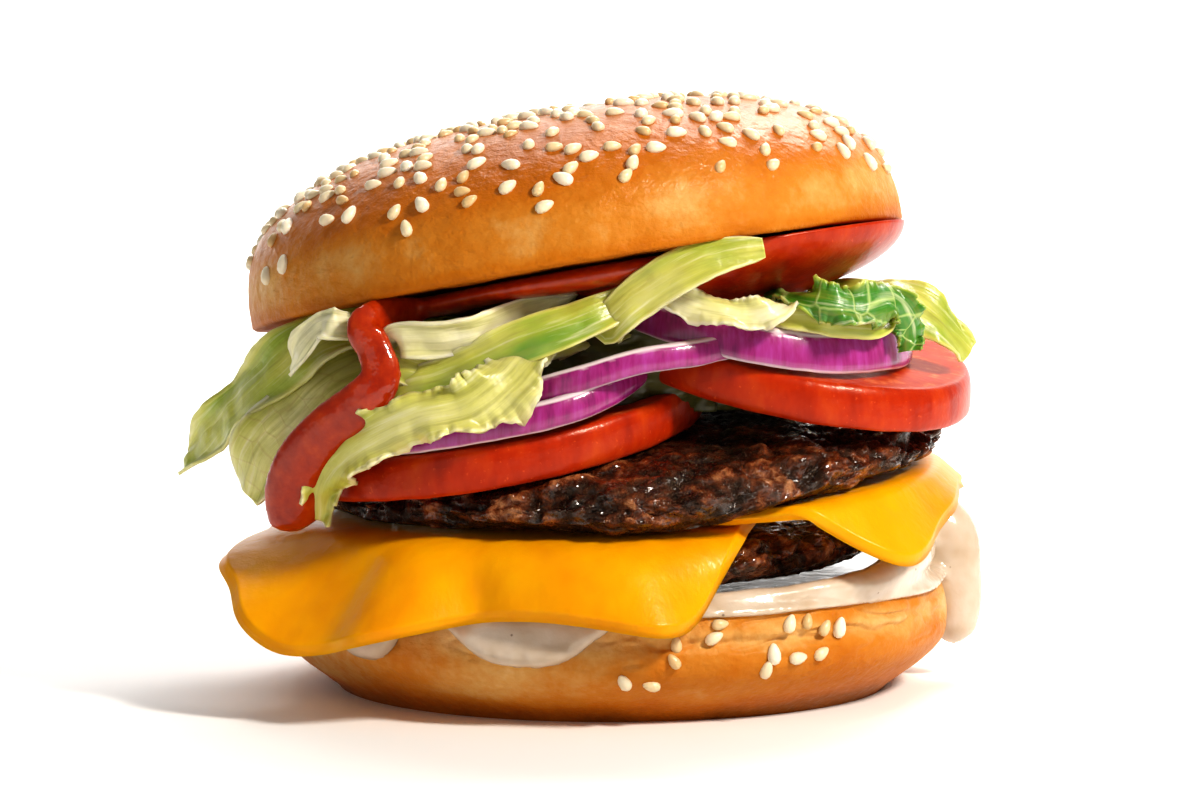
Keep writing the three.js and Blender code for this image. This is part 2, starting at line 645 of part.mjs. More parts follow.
// A thick run of sauce along a path: radii gives its half width at each point, and flat its depth
// from front to back as a share of that.
function runBody(points, radii, flat, steps = 12) {
  const sides = 8;
  return barAlong(points, steps, (s) => {
    const place = s * (radii.length - 1);
    const n = Math.min(Math.floor(place), radii.length - 2);
    const r = radii[n] + (radii[n + 1] - radii[n]) * (place - n);
    const end = Math.sqrt(Math.min(1, Math.min(s, 1 - s) * 12 + 0.12));
    return Array.from({ length: sides }, (unused, i) => {
      const turn = (2 * Math.PI * i) / sides;
      return [r * end * Math.cos(turn), r * end * flat * Math.sin(turn)];
    });
  }, new THREE.Vector3(0, -1, 0));
}

const DOLLOP = {
  points: [[44, 6, 25.5], [50, 5, 26.5], [55, 4, 23.5], [57, 3, 18], [57.4, 3, 12], [57, 3, 5.6]],
  radii: [5, 6.5, 6.5, 5, 4.6, 3.4],
};

function mayonnaiseSolid(neighbours) {
  const dollop = cutClear(solidOf(runBody(DOLLOP.points, DOLLOP.radii, 0.75)), neighbours);
  return solidOf(mayonnaiseBody()).add(dollop);
}

// The layer under the crown, thick and lumpy towards the front.
function ketchupLayer() {
  const levels = [1, 1, 0.9, 0.45, 0, 0];
  const reach = [0, 0.7, 0.94, 1, 0.96, 0];
  return roundBody(levels.length, 34, (k, angle) => {
    const r = reach[k] * KETCHUP.radius * (1 + 0.035 * uneven(angle, 2.6));
    const x = CROWN.x + r * Math.cos(angle);
    const y = CROWN.y + r * Math.sin(angle);
    const forwards = hump(turnTo(angle, KETCHUP.front), 0, KETCHUP.frontSpread);
    const lump = 1 + 0.25 * uneven(2 * angle, 1.1) + KETCHUP.frontLump * forwards;
    return [x, y, planeHeight(CROWN, x, y) - 1.4 * GAP - levels[k] * KETCHUP.thick * lump];
  });
}

// The run that hangs over the leaves at the front left and ends on the cheese.
const DRIP = {
  points: [[-27, -35, 65.2], [-38.2, -46.5, 63.2], [-37.2, -48, 59], [-36.2, -49, 55], [-39, -49, 51],
    [-44.5, -46.5, 46.6], [-48.6, -43.5, 41.6], [-50.4, -41, 36.6], [-50.6, -39, 32], [-50.2, -37.5, 29.4]],
  radii: [3.4, 3.1, 2.9, 3.2, 3.8, 3.9, 4.3, 4.7, 4.3, 3.1],
};

function ketchupSolid() {
  return solidOf(ketchupLayer()).add(solidOf(runBody(DRIP.points, DRIP.radii, 0.5, 18)));
}

// The stack, from the heel up. A piece made later is cut clear of those it rests on.
const heel = heelSolid();
const pattyLower = solidOf(pattyBody(PATTY_LOWER, 0.7, () => MAYONNAISE.top + GAP, 0));
const cheeseFront = cutClear(
  solidOf(drapedSlice(CHEESE_FRONT, PATTY_LOWER, onLowerPatty)),
  [pattyLower, heel],
);
const cheeseRight = cutClear(
  solidOf(drapedSlice(CHEESE_RIGHT, PATTY_UPPER, underUpperPatty)),
  [pattyLower, cheeseFront, heel],
);
const pattyUpper = cutClear(
  solidOf(pattyBody(PATTY_UPPER, 2.9, onFrontSlice, SAG.depth)),
  [cheeseFront, cheeseRight, pattyLower],
  0.15,
);
const tomatoFront = cutClear(solidOf(tomatoBody(TOMATO_FRONT, 0.5)), [pattyUpper, cheeseFront]);
const tomatoBack = cutClear(solidOf(tomatoBody(TOMATO_BACK, 1.7)), [tomatoFront, pattyUpper, cheeseFront]);
const tomatoRight = cutClear(solidOf(tomatoBody(TOMATO_RIGHT, 3.1)), [tomatoFront, tomatoBack, pattyUpper]);
const onionFront = cutClear(
  solidOf(onionBody(ONION_FRONT, [4.6, 4.6], 0.5)),
  [tomatoFront, tomatoBack, tomatoRight],
);
const onionMiddle = cutClear(
  solidOf(onionBody(ONION_MIDDLE, [4, 4.2], 0.5)),
  [tomatoFront, tomatoBack, tomatoRight, onionFront],
);
const onionRight = cutClear(
  solidOf(onionBody(ONION_RIGHT, [4, 6.4], 1.2)),
  [tomatoRight, onionFront, onionMiddle],
);
const crown = crownSolid();
const tomatoEnd = cutClear(solidOf(tomatoEndBody()), [crown, tomatoRight, onionRight]);
const mayonnaise = cutClear(mayonnaiseSolid([heel, cheeseRight]), [pattyLower, cheeseFront, cheeseRight]);
const ketchup = cutClear(
  ketchupSolid(),
  [crown, tomatoEnd, tomatoFront, tomatoBack, tomatoRight, onionFront, onionMiddle, onionRight, pattyUpper,
    cheeseFront],
);
const lettuce = cutClear(
  lettuceSolid(),
  [crown, ketchup, tomatoEnd, tomatoFront, tomatoBack, tomatoRight, onionFront, onionMiddle, onionRight,
    pattyUpper, cheeseFront, cheeseRight, mayonnaise],
  0.4,
);

const PIECES = [
  ["bun_heel", heel, 0xc98a48, 0.65],
  ["mayonnaise", mayonnaise, 0xe8dcd0, 0.3],
  ["patty_lower", pattyLower, 0x3a1e12, 0.55],
  ["cheese_front", cheeseFront, 0xe69a00, 0.4],
  ["cheese_right", cheeseRight, 0xf2a800, 0.4],
  ["patty_upper", pattyUpper, 0x3a1e12, 0.5],
  ["tomato_front_left", tomatoFront, 0xb02010, 0.25],
  ["tomato_back_left", tomatoBack, 0xb02010, 0.25],
  ["tomato_right", tomatoRight, 0xc7301a, 0.25],
  ["tomato_top", tomatoEnd, 0x96180c, 0.2],
  ["onion_front", onionFront, 0x94286f, 0.3],
  ["onion_middle", onionMiddle, 0x94286f, 0.3],
  ["onion_right", onionRight, 0xa2378f, 0.3],
  ["lettuce", lettuce, 0xb8c05a, 0.5],
  ["ketchup", ketchup, 0xa82208, 0.2],
  ["bun_crown", crown, 0xc4731f, 0.4],
];

const burger = new THREE.Group();
PIECES.forEach(([name, solid, color, roughness]) => {
  const material = new THREE.MeshStandardMaterial({ color, roughness, metalness: 0 });
  const mesh = new THREE.Mesh(geometryOf(solid), material);
  mesh.name = name;
  burger.add(mesh);
});

export default burger;
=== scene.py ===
"""A double cheeseburger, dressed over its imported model. Lengths in formulas are millimetres."""
import math

import bpy
import numpy as np
from bpy.props import FloatProperty, FloatVectorProperty, IntProperty, PointerProperty
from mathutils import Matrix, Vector


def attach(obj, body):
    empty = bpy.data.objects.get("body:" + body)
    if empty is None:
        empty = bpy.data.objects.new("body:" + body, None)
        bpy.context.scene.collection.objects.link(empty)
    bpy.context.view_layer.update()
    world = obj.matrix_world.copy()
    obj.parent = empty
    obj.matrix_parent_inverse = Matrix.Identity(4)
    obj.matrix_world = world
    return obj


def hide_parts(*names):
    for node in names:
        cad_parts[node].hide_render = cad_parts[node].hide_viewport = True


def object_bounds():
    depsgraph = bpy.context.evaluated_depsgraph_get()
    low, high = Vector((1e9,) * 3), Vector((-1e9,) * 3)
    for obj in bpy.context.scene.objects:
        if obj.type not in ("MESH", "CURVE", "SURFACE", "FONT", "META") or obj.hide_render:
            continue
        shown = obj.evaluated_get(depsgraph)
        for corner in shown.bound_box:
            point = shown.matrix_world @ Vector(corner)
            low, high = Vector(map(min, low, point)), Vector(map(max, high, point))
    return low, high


bl_info = {
    "name": "Double Cheeseburger",
    "version": (1, 0, 0),
    "blender": (4, 5, 0),
    "location": "3D View > Sidebar > Burger",
    "description": "Makes each layer of a double cheeseburger over its packed model",
    "category": "Object",
}

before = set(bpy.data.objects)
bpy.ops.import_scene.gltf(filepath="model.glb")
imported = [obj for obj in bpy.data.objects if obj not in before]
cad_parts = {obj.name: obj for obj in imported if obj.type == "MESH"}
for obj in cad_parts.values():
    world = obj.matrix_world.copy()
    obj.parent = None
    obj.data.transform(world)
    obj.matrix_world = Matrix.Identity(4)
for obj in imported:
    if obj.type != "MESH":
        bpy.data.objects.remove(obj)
CAD_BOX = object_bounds()

MM = 0.001
TAU = 2 * math.pi

# Sizes and places, in millimetres, the same as in the model's own source, whose seeds are fewer and larger

HEEL = dict(foot=45.5, widest=55.6, widest_at=10.7, rim=54.0, top=18.3)
CREASE = dict(z=13.4, high=0.9, depth=0.9, angle=-1.15, spread=0.55)
CROWN = dict(x=-6.0, y=0.0, z=67.5, slope_x=0.173, slope_y=-0.098, radius=54.7, height=27.2)
SEED = dict(length=3.2, width=2.0, height=0.9, apart=2.45, thin_below=0.42, thin=1.35, lowest=0.12,
            stand=0.12)
HEEL_SEEDS = [
    (-1.26, 16.4, 0.1), (-1.28, 14.4, 0.5), (-1.04, 15.9, 1.1), (-0.98, 16, 1.2), (-0.92, 14.8, 1),
    (-0.865, 14.6, 1.4), (-1.4, 11, 2.2), (-1.39, 13.5, 1.6), (-1.1, 11.4, 1.6), (-1.02, 10.5, 0.1),
    (-0.94, 10.9, 0.5), (-1.12, 9, 1.4), (-1.54, 7.7, 2), (-1.46, 7, 2.9),
]
PATTY_LOWER = dict(x=-5, y=-1, z=20.4, slope_x=0.03, slope_y=0.01, radius=48.5, edge=6.4, rise=1.4)
PATTY_UPPER = dict(x=3, y=-2, z=33.6, slope_x=0.1, slope_y=0.03, radius=50.5, edge=5.8, rise=6)
SAG = dict(depth=2.6, angle=-1.42, spread=0.38)
CRAG = dict(side=0.9, top=0.3)
CHEESE = dict(half=41, thick=2.3, square=7, fall=20)
CHEESE_FRONT = dict(x=-17.9, y=-20.3, turn=-0.155, rim=46.6, bend=9, steep=1.15, flare=0.9, flare_at=3.44,
                    folds=3, creases=1, phase=3.52)
CHEESE_RIGHT = dict(x=17.3, y=-2.4, turn=-0.13, rim=49.5, bend=2.8, steep=1.04, flare=0.32, flare_at=-0.12,
                    folds=0.28, creases=1.05, phase=3.28)
ROOM = 0.62
TOMATO_FRONT = dict(x=-18, y=-17, z=40.5, slope_x=0.175, slope_y=0.1, radius=32.5, thick=7)
TOMATO_BACK = dict(x=-36, y=12, z=46.2, slope_x=0.216, slope_y=0, radius=28, thick=6.5)
TOMATO_RIGHT = dict(x=27.6, y=-10, z=52.2, slope_x=-0.19, slope_y=0.157, radius=31.2, thick=7)
TOMATO_END = dict(x=17, y=-12, radius=30, thick=9.6)
ONION_WALL = 2.4
ONION_FRONT = [
    (-43, -26, 41.9), (-41.5, -37, 43), (-33, -45, 44.6), (-22, -49.5, 46.6), (-9, -49, 49.3), (-1, -44, 52),
    (4, -35, 54.8), (3.6, -30.5, 55.4),
]
ONION_MIDDLE = [
    (-26, -26, 49.8), (-24, -38, 50.1), (-16, -44.5, 51.4), (-6, -47, 54.2), (4, -46, 57), (13, -43, 58.2),
    (20, -37, 59.5), (24, -27, 60.4),
]
ONION_RIGHT = [
    (2, -30, 65), (6, -37, 63.4), (14, -40.5, 61.2), (24, -41, 59.1), (34, -38, 57.8), (42, -31, 57.6),
    (47, -20, 57.8), (48, -8, 59.4),
]
HEAP = dict(x=-3, y=1, radius=36, foot=47.5, under=1.9)
MAYONNAISE = dict(top=19.6, thick=1.5, hem=17.4)
MAYONNAISE_RUNS = [(-2.33, 0.13, 9.0), (-1.83, 0.22, 9.6), (1.75, 0.16, 11.0), (2.5, 0.12, 12.5)]
DOLLOP = [(44, 6, 25.5), (50, 5, 26.5), (55, 4, 23.5), (57, 3, 18), (57.4, 3, 12), (57, 3, 5.6)]
DOLLOP_RADII = [5, 6.5, 6.5, 5, 4.6, 3.4]
KETCHUP = dict(radius=49, thick=2.6, front=-1.9, front_spread=0.8, front_lump=0.35)
DRIP = [
    (-27, -35, 65.2), (-38.2, -46.5, 63.2), (-37.2, -48, 59), (-36.2, -49, 55), (-39, -49, 51),
    (-44.5, -46.5, 46.6), (-48.6, -43.5, 41.6), (-50.4, -41, 36.6), (-50.6, -39, 32), (-50.2, -37.5, 29.4),
]
DRIP_RADII = [3.4, 3.1, 2.9, 3.2, 3.8, 3.9, 4.3, 4.7, 4.3, 3.1]

# Sizes and places that only this script has, also in millimetres

BEAD = [
    (6, -50.6, 19.4), (18, -48.2, 19.8), (30, -43.4, 20.2), (40, -35.6, 21), (46.4, -24, 22.2),
    (49, -10, 23.2), (49, 3, 24.4),
]
BEAD_RADII = [1.0, 2.0, 1.7, 2.8, 3.6, 4.4, 5.0]
WRINKLES = dict(z=14.5, high=3.4, size=6, depth=3)
CAMERA = dict(target=(-2.1, 0.0, 47.0), elevation=5.0, distance=750.0, lens=135.0, sensor=36.0)

# Each light: its name, its place and target, its size in metres, its watts and its tint
LIGHTS = [
    ("key", (0.45, -0.4, 0.5), (0, 0, 0.05), 0.12, 5.6, (1.0, 0.93, 0.84)),
    ("fill", (-0.5, -0.9, 0.2), (0, 0, 0.05), 0.6, 0.75, (1.0, 0.97, 0.94)),
    ("rim", (0.25, 0.5, 0.55), (0, 0, 0.05), 0.3, 2.4, (1.0, 0.97, 0.92)),
    ("wall", (0, 0.9, 1.6), (0, 2.4, 0.3), 1.0, 45.0, (1.0, 1.0, 1.0)),
]

# Shreds behind: how many, the angle they start at, how far round they go, and their least height, fall and
# reach
BACK_SHREDS = dict(count=7, start=0.3, turn=2.64, high=57, drop=4, reach=44)

# Each leaf: the points of its path, its width, the way its face looks, the height and number of its ruffles
# and its tint, from pale to green. Some have a roll of their edges, a frill, a flap (middle, spread and how
# much wider), a dark patch or veins
LEAVES = [
    dict(points=[(-22, -18, 60), (-40, -31, 61.6), (-49, -33, 58.6), (-57, -28, 52), (-64, -18, 44.6),
                 (-70.5, -8, 37.4)],
         width=11, face=(-0.4, -0.8, 0.45), ruffle=1.2, waves=3, tint=0.58, roll=1.6),
    dict(points=[(-22, -22, 59), (-41, -43, 62.4), (-46, -43, 62.4), (-49.5, -40, 58.5), (-51, -36, 55)],
         width=5.5, face=(-0.3, -0.8, 0.5), ruffle=0.6, waves=2, tint=0.0, roll=1.2),
    dict(points=[(-22, -18, 58), (-42, -33, 54), (-50, -36, 47.6), (-56, -34, 41.6), (-58.6, -31, 34.6)],
         width=15, face=(-0.45, -0.8, 0.3), ruffle=1.1, waves=2, tint=0.3, veins=0.35),
    dict(points=[(-22, -16, 57), (-42, -29, 54.2), (-47, -30, 51.5), (-52, -29, 52.6)],
         width=5, face=(-0.2, -0.9, 0.3), ruffle=0.8, waves=2, tint=0.45, roll=0.6),
    dict(points=[(-4, -32, 60), (-11.4, -47, 60.2), (-17, -52, 55.2), (-23, -54, 51), (-31, -53, 48.8),
                 (-40, -49, 44), (-45.5, -44, 38), (-46.6, -40, 31.5)],
         width=8.5, face=(0, -0.95, 0.3), ruffle=1.7, waves=4, tint=0.42, frill=1, flap=(0.3, 0.07, 0.8)),
    dict(points=[(-24, -30, 60), (-34, -46, 60.4), (-26, -49, 60.8), (-19, -48, 62.4), (-12, -42, 64.6),
                 (-6, -30, 66)],
         width=6.2, face=(0, -0.95, -0.3), ruffle=0.8, waves=2, tint=0.05, roll=0.5),
    dict(points=[(-28, -28, 57), (-36, -44, 58.4), (-30, -47, 55.8), (-24, -45, 58.2), (-20, -32, 60)],
         width=6, face=(0, -0.9, 0.4), ruffle=0.6, waves=2, tint=0.5, roll=1.0),
    dict(points=[(-28, -28, 50), (-35, -45, 52.2), (-26, -48.5, 55), (-15, -50, 60.2), (-6, -49, 63.4),
                 (2, -45, 66.4), (8, -30, 68)],
         width=7, face=(0, -0.95, 0.3), ruffle=0.7, waves=2, tint=0.6, roll=0.5, dark=0.24),
    dict(points=[(2, -30, 61), (-0.8, -46, 62.6), (4, -49, 67.4), (11, -50, 71.9), (17, -49, 74),
                 (23.4, -48, 75)],
         width=7, face=(0, -0.95, 0.3), ruffle=0.5, waves=2, tint=0.55, roll=0.6),
    dict(points=[(4, -30, 66), (8, -44, 67.4), (14, -46, 65.6), (20.5, -46, 64.6), (26, -44, 65.4),
                 (28, -30, 65)],
         width=5, face=(0, -0.9, 0.4), ruffle=1.5, waves=3, tint=0.1, frill=0.4),
    dict(points=[(20, -28, 64), (27, -39, 64.4), (34, -39, 64), (42, -34, 62.6), (40, -20, 63)],
         width=6.5, face=(0, -0.9, 0.4), ruffle=0.8, waves=2, tint=0.45),
    dict(points=[(24, -26, 66), (31, -41, 66.8), (38, -42, 65.6), (44, -35, 66), (47, -31, 62),
                 (47.5, -31, 57.6)],
         width=7, face=(0.2, -0.9, 0.4), ruffle=1.6, waves=4, tint=1.05, frill=0.8, veins=1),
    dict(points=[(32, -12, 66), (45, -20, 66.4), (51, -21, 63.4), (55, -20, 59.8), (58, -18, 56.4)],
         width=9, face=(0.5, -0.7, 0.5), ruffle=0.9, waves=2, tint=0.6, roll=0.5),
]


def in_millimetres(name, description, default, low, high):
    """A length property in millimetres."""
    return FloatProperty(name=name, description=description + ", in millimetres", default=default, min=low,
                         max=high)


class BurgerSizes(bpy.types.PropertyGroup):
    """Sizes that a user would change."""

    crown_seeds: IntProperty(name="Crown seeds", description="Sesame seeds on the crown", default=430, min=0)
    crag_depth: in_millimetres("Crag depth", "Depth of the minced meat's lumps", 1.2, 0.0, 4.0)
    leaf_thickness: in_millimetres("Leaf thickness", "Thickness of a lettuce leaf", 0.55, 0.1, 2.0)
    crust_relief: in_millimetres("Crust relief", "Height of the crust's dimples", 0.22, 0.0, 2.0)


def linear(hexadecimal):
    """An sRGB hex colour as linear red, green and blue."""
    parts = [int(hexadecimal[i:i + 2], 16) / 255 for i in (1, 3, 5)]
    return tuple(p / 12.92 if p <= 0.04045 else ((p + 0.055) / 1.055) ** 2.4 for p in parts)


def colour(name, description, hexadecimal):
    """A colour property with an sRGB hex default."""
    return FloatVectorProperty(name=name, description=description, subtype="COLOR", size=3, min=0.0, max=1.0,
                               default=linear(hexadecimal))


class BurgerColours(bpy.types.PropertyGroup):
    """Colours that a user would change."""

    crust: colour("Crust", "Baked crust of the bun", "#B8680C")
    crust_dark: colour("Dark crust", "Crust where it baked most", "#90500E")
    crust_pale: colour("Pale crust", "Crust where it baked least", "#C27A26")
    seed: colour("Seed", "Hulled sesame seed", "#EADBBB")
    meat: colour("Meat", "Charred beef", "#220F08")
    meat_red: colour("Red meat", "Beef where the char is thin", "#6C361A")
    cheese: colour("Cheese", "Melted cheese", "#EA9C00")
    tomato: colour("Tomato", "Tomato skin", "#AC2A04")
    tomato_flesh: colour("Tomato flesh", "Cut tomato", "#B83E10")
    onion: colour("Onion", "Red onion skin", "#96246F")
    onion_flesh: colour("Onion flesh", "Cut edge of the onion", "#E6D6DA")
    leaf: colour("Leaf", "Lettuce leaf", "#BDBC56")
    leaf_pale: colour("Pale leaf", "Lettuce where it is thick", "#E6E1B8")
    leaf_dark: colour("Dark leaf", "Outer lettuce leaf", "#3C7C1C")
    ketchup: colour("Ketchup", "Ketchup", "#A42C04")
    mayonnaise: colour("Mayonnaise", "Mayonnaise", "#D3C4B2")


# Surfaces

def uneven(angle, phase):
    """Slow unevenness of a round outline: three sine waves, two, three and five times round."""
    return (0.5 * np.sin(2 * angle + phase) + 0.3 * np.sin(3 * angle + 2.1 * phase)
            + 0.2 * np.sin(5 * angle + 3.7 * phase))


def crags(angle, level, phase):
    """Quick unevenness of minced meat: three sine waves, nine, thirteen and nineteen times round."""
    return (0.45 * np.sin(9 * angle + 2.3 * level + phase)
            + 0.35 * np.sin(13 * angle - 3.1 * level + 2 * phase)
            + 0.2 * np.sin(19 * angle + 4.3 * level + 3 * phase))


def hump(value, middle, spread):
    """A bell curve of height 1."""
    return np.exp(-((value - middle) / spread) ** 2)


def turn_to(angle, start):
    """The smallest turn from one angle to another."""
    return np.arctan2(np.sin(angle - start), np.cos(angle - start))


def ease(low, high, value):
    """0 below low, 1 above high, and a smooth cubic step between."""
    t = np.clip((value - low) / (high - low), 0, 1)
    return t * t * (3 - 2 * t)


def grain(points, size, seed):
    """Smooth noise from -1 to 1: random values on a lattice with cells of a given size, blended between.
    The lattice is turned by a drawn rotation, so that it doesn't line up with the piece."""
    turned = np.linalg.qr(np.random.default_rng(seed).normal(size=(3, 3)))[0]
    place = np.asarray(points, float) @ turned / size + seed * 17.31
    cell = np.floor(place).astype(np.int64)
    part = place - cell
    part = part * part * (3 - 2 * part)
    total = np.zeros(place.shape[:-1])
    for corner in range(8):
        step = np.array([corner & 1, (corner >> 1) & 1, (corner >> 2) & 1])
        at = cell + step
        mixed = (at[..., 0] * 73856093) ^ (at[..., 1] * 19349663) ^ (at[..., 2] * 83492791) ^ (seed * 2654435)
        mixed = ((mixed ^ (mixed >> 13)) * 1274126177) & 0x7FFFFFFF
        weight = np.prod(np.where(step == 1, part, 1 - part), axis=-1)
        total += weight * ((mixed >> 8) & 0xFFFF) / 32767.5
    return total - 1


def plane_height(piece, x, y):
    """The height of a slice's sloping plane at (x, y)."""
    return piece["z"] + piece["slope_x"] * (x - piece["x"]) + piece["slope_y"] * (y - piece["y"])


def column(*parts):
    """Lists and arrays one after another, as a column."""
    return np.concatenate(parts)[:, None]


def ring_angles(count):
    """Angles evenly round a circle, as a row."""
    return np.linspace(0, TAU, count, endpoint=False)[None, :]


def stacked(*parts):
    """Puts x, y and z arrays together as points."""
    return np.stack(np.broadcast_arrays(*parts), axis=-1)


def polar(r, angle, z):
    """Points at a distance and an angle from the burger's axis."""
    return stacked(r * np.cos(angle), r * np.sin(angle), z)


def push_out(rows, angle, by):
    """Moves points of rings outwards."""
    rows[..., 0] += by * np.cos(angle)
    rows[..., 1] += by * np.sin(angle)


def beside(piece, r, angle):
    """x and y at a distance and an angle from a piece's middle."""
    return piece["x"] + r * np.cos(angle), piece["y"] + r * np.sin(angle)


def put_object(name, data):
    """A new object, linked to the scene."""
    piece = bpy.data.objects.new(name, data)
    bpy.context.scene.collection.objects.link(piece)
    return piece


def put_mesh(name, points, faces, marks=None, uv=None):
    """A mesh object from points in millimetres and lists of triangles and squares, with point attributes."""
    mesh = bpy.data.meshes.new(name)
    corners = np.concatenate([f.ravel() for f in faces])
    sizes = np.concatenate([np.full(len(f), f.shape[1]) for f in faces])
    mesh.vertices.add(len(points))
    mesh.vertices.foreach_set("co", (points * MM).astype(np.float32).ravel())
    mesh.loops.add(len(corners))
    mesh.loops.foreach_set("vertex_index", corners.astype(np.int32))
    mesh.polygons.add(len(sizes))
    mesh.polygons.foreach_set("loop_start", np.concatenate([[0], np.cumsum(sizes)[:-1]]).astype(np.int32))
    mesh.update(calc_edges=True)
    mesh.polygons.foreach_set("use_smooth", np.ones(len(sizes), dtype=bool))
    for key, values in (marks or {}).items():
        layer = mesh.attributes.new(key, "FLOAT", "POINT")
        layer.data.foreach_set("value", np.ascontiguousarray(values, dtype=np.float32).ravel())
    if uv is not None:
        layer = mesh.uv_layers.new(name="Leaf")
        layer.data.foreach_set("uv", uv[corners].astype(np.float32).ravel())
    mesh.validate()
    return put_object(name, mesh)


def shell(rows):
    """A closed surface from rows of rings, whose first and last rows shrink to poles: points and faces."""
    count, around = rows.shape[:2]
    points = np.concatenate([rows[:1].mean(axis=1), rows[1:-1].reshape(-1, 3), rows[-1:].mean(axis=1)])
    ring = np.arange(around)
    after = (ring + 1) % around
    first = 1 + np.arange(count - 3)[:, None] * around
    squares = np.stack([first + ring, first + after, first + around + after, first + around + ring], axis=-1)
    last = 1 + (count - 3) * around
    top = len(points) - 1
    bottom_cap = np.stack([np.zeros_like(ring), 1 + after, 1 + ring], axis=-1)
    top_cap = np.stack([last + ring, last + after, np.full_like(ring, top)], axis=-1)
    return points, [squares.reshape(-1, 4), bottom_cap, top_cap]


def joined(parts):
    """Several lots of points, faces, marks and uv as one."""
    points, faces, marks, uvs, start = [], [], {}, [], 0
    for part in parts:
        points.append(part[0])
        faces += [f + start for f in part[1]]
        for key, values in part[2].items():
            marks.setdefault(key, []).append(values)
        uvs += part[3:]
        start += len(part[0])
    marks = {key: np.concatenate(values) for key, values in marks.items()}
    return np.concatenate(points), faces, marks, np.concatenate(uvs) if uvs else None


def path_at(points, s):
    """A smooth path through points, each stretch a cubic whose slope at a point is half the way between
    its neighbours: places and directions for s from 0 to 1."""
    given = np.asarray(points, float)
    given = np.concatenate([[2 * given[0] - given[1]], given, [2 * given[-1] - given[-2]]])
    place = np.clip(s, 0, 1) * (len(points) - 1)
    n = np.minimum(place.astype(int), len(points) - 2)
    t = (place - n)[..., None]
    a, b, c, d = given[n], given[n + 1], given[n + 2], given[n + 3]
    leave, arrive = 0.5 * (c - a), 0.5 * (d - b)
    at = (b + leave * t + (3 * (c - b) - 2 * leave - arrive) * t ** 2
          + (2 * (b - c) + leave + arrive) * t ** 3)
    way = leave + 2 * (3 * (c - b) - 2 * leave - arrive) * t + 3 * (2 * (b - c) + leave + arrive) * t ** 2
    return at, unit(way)


def unit(vectors):
    """Vectors at length 1."""
    return vectors / np.maximum(np.linalg.norm(vectors, axis=-1, keepdims=True), 1e-9)


def bar(points, steps, section, upwards=(0.0, 0.0, 1.0)):
    """A bar: an outline of pairs (across, up) for each s carried along a path, closed at both ends, where
    up lies as near to the given direction as the path lets it."""
    s = np.linspace(0, 1, steps)
    at, ahead = path_at(points, s)
    across = unit(np.cross(ahead, np.array(upwards)))
    up = np.cross(across, ahead)
    pairs = section(s)
    rows = at[:, None] - across[:, None] * pairs[..., :1] + up[:, None] * pairs[..., 1:]
    ends = np.broadcast_to(at[0], rows[:1].shape), np.broadcast_to(at[-1], rows[:1].shape)
    return np.concatenate([ends[0], rows, ends[1]])


def grid_normals(points):
    """Normals of a grid of points, from the differences between its neighbours."""
    return unit(np.cross(np.gradient(points, axis=0), np.gradient(points, axis=1)))


def thin_sheet(points, thick):
    """A grid of points as a thin closed solid: two copies, half the thickness to either side, joined."""
    along, across = points.shape[:2]
    normals = grid_normals(points)
    both = np.concatenate([(points + normals * thick / 2).reshape(-1, 3),
                           (points - normals * thick / 2).reshape(-1, 3)])
    index = np.arange(along * across).reshape(along, across)
    a, b, c, d = index[:-1, :-1], index[1:, :-1], index[1:, 1:], index[:-1, 1:]
    top = np.stack([a, b, c, d], axis=-1).reshape(-1, 4)
    under = along * across + np.stack([a, d, c, b], axis=-1).reshape(-1, 4)
    edge = np.concatenate([index[:-1, 0], index[-1, :-1], index[:0:-1, -1], index[0, :0:-1]])
    after = np.roll(edge, -1)
    side = np.stack([edge + along * across, after + along * across, after, edge], axis=-1)
    return both, [top, under, side]


# Materials

def add(tree, kind, links=None, **settings):
    """Adds a node, with its settings and its inputs: values, or sockets to link from."""
    node = tree.nodes.new(kind)
    for key, value in settings.items():
        setattr(node, key, value)
    for key, value in (links or {}).items():
        if isinstance(value, bpy.types.NodeSocket):
            tree.links.new(value, node.inputs[key])
        else:
            node.inputs[key].default_value = value
    return node


def paint(tone):
    """A colour for a node, from an sRGB hex colour or from linear red, green and blue."""
    return (*(linear(tone) if isinstance(tone, str) else tone), 1)


def new_material(name):
    """An empty material, its tree, the object coordinates in millimetres and the user's colours."""
    material = bpy.data.materials.new(name)
    material.use_nodes = True
    tree = material.node_tree
    tree.nodes.clear()
    place = add(tree, "ShaderNodeTexCoord").outputs["Object"]
    mapped = add(tree, "ShaderNodeVectorMath", {0: place, "Scale": 1 / MM}, operation="SCALE")
    return material, tree, mapped.outputs["Vector"], bpy.context.scene.burger_colours


def noise(tree, place, size, detail=3.0, rough=0.55, stretch=None):
    """Noise from 0 to 1 whose patches are about a size in millimetres."""
    if stretch:
        stretched = add(tree, "ShaderNodeVectorMath", {0: place, 1: stretch}, operation="MULTIPLY")
        place = stretched.outputs["Vector"]
    links = {"Vector": place, "Scale": 1 / size, "Detail": detail, "Roughness": rough}
    return add(tree, "ShaderNodeTexNoise", links).outputs["Fac"]


def cells(tree, place, size, feature="F1", random=1.0):
    """Distances to the middles, or to the edges, of cells about a size in millimetres."""
    links = {"Vector": place, "Scale": 1 / size, "Randomness": random}
    return add(tree, "ShaderNodeTexVoronoi", links, feature=feature).outputs["Distance"]


def ramp(tree, value, *stops):
    """A colour ramp: stops are (place, colour)."""
    node = add(tree, "ShaderNodeValToRGB", {"Fac": value})
    line = node.color_ramp
    while len(line.elements) < len(stops):
        line.elements.new(0.5)
    for element, (place, tone) in zip(line.elements, stops):
        element.position = place
        element.color = paint(tone)
    return node.outputs["Color"]


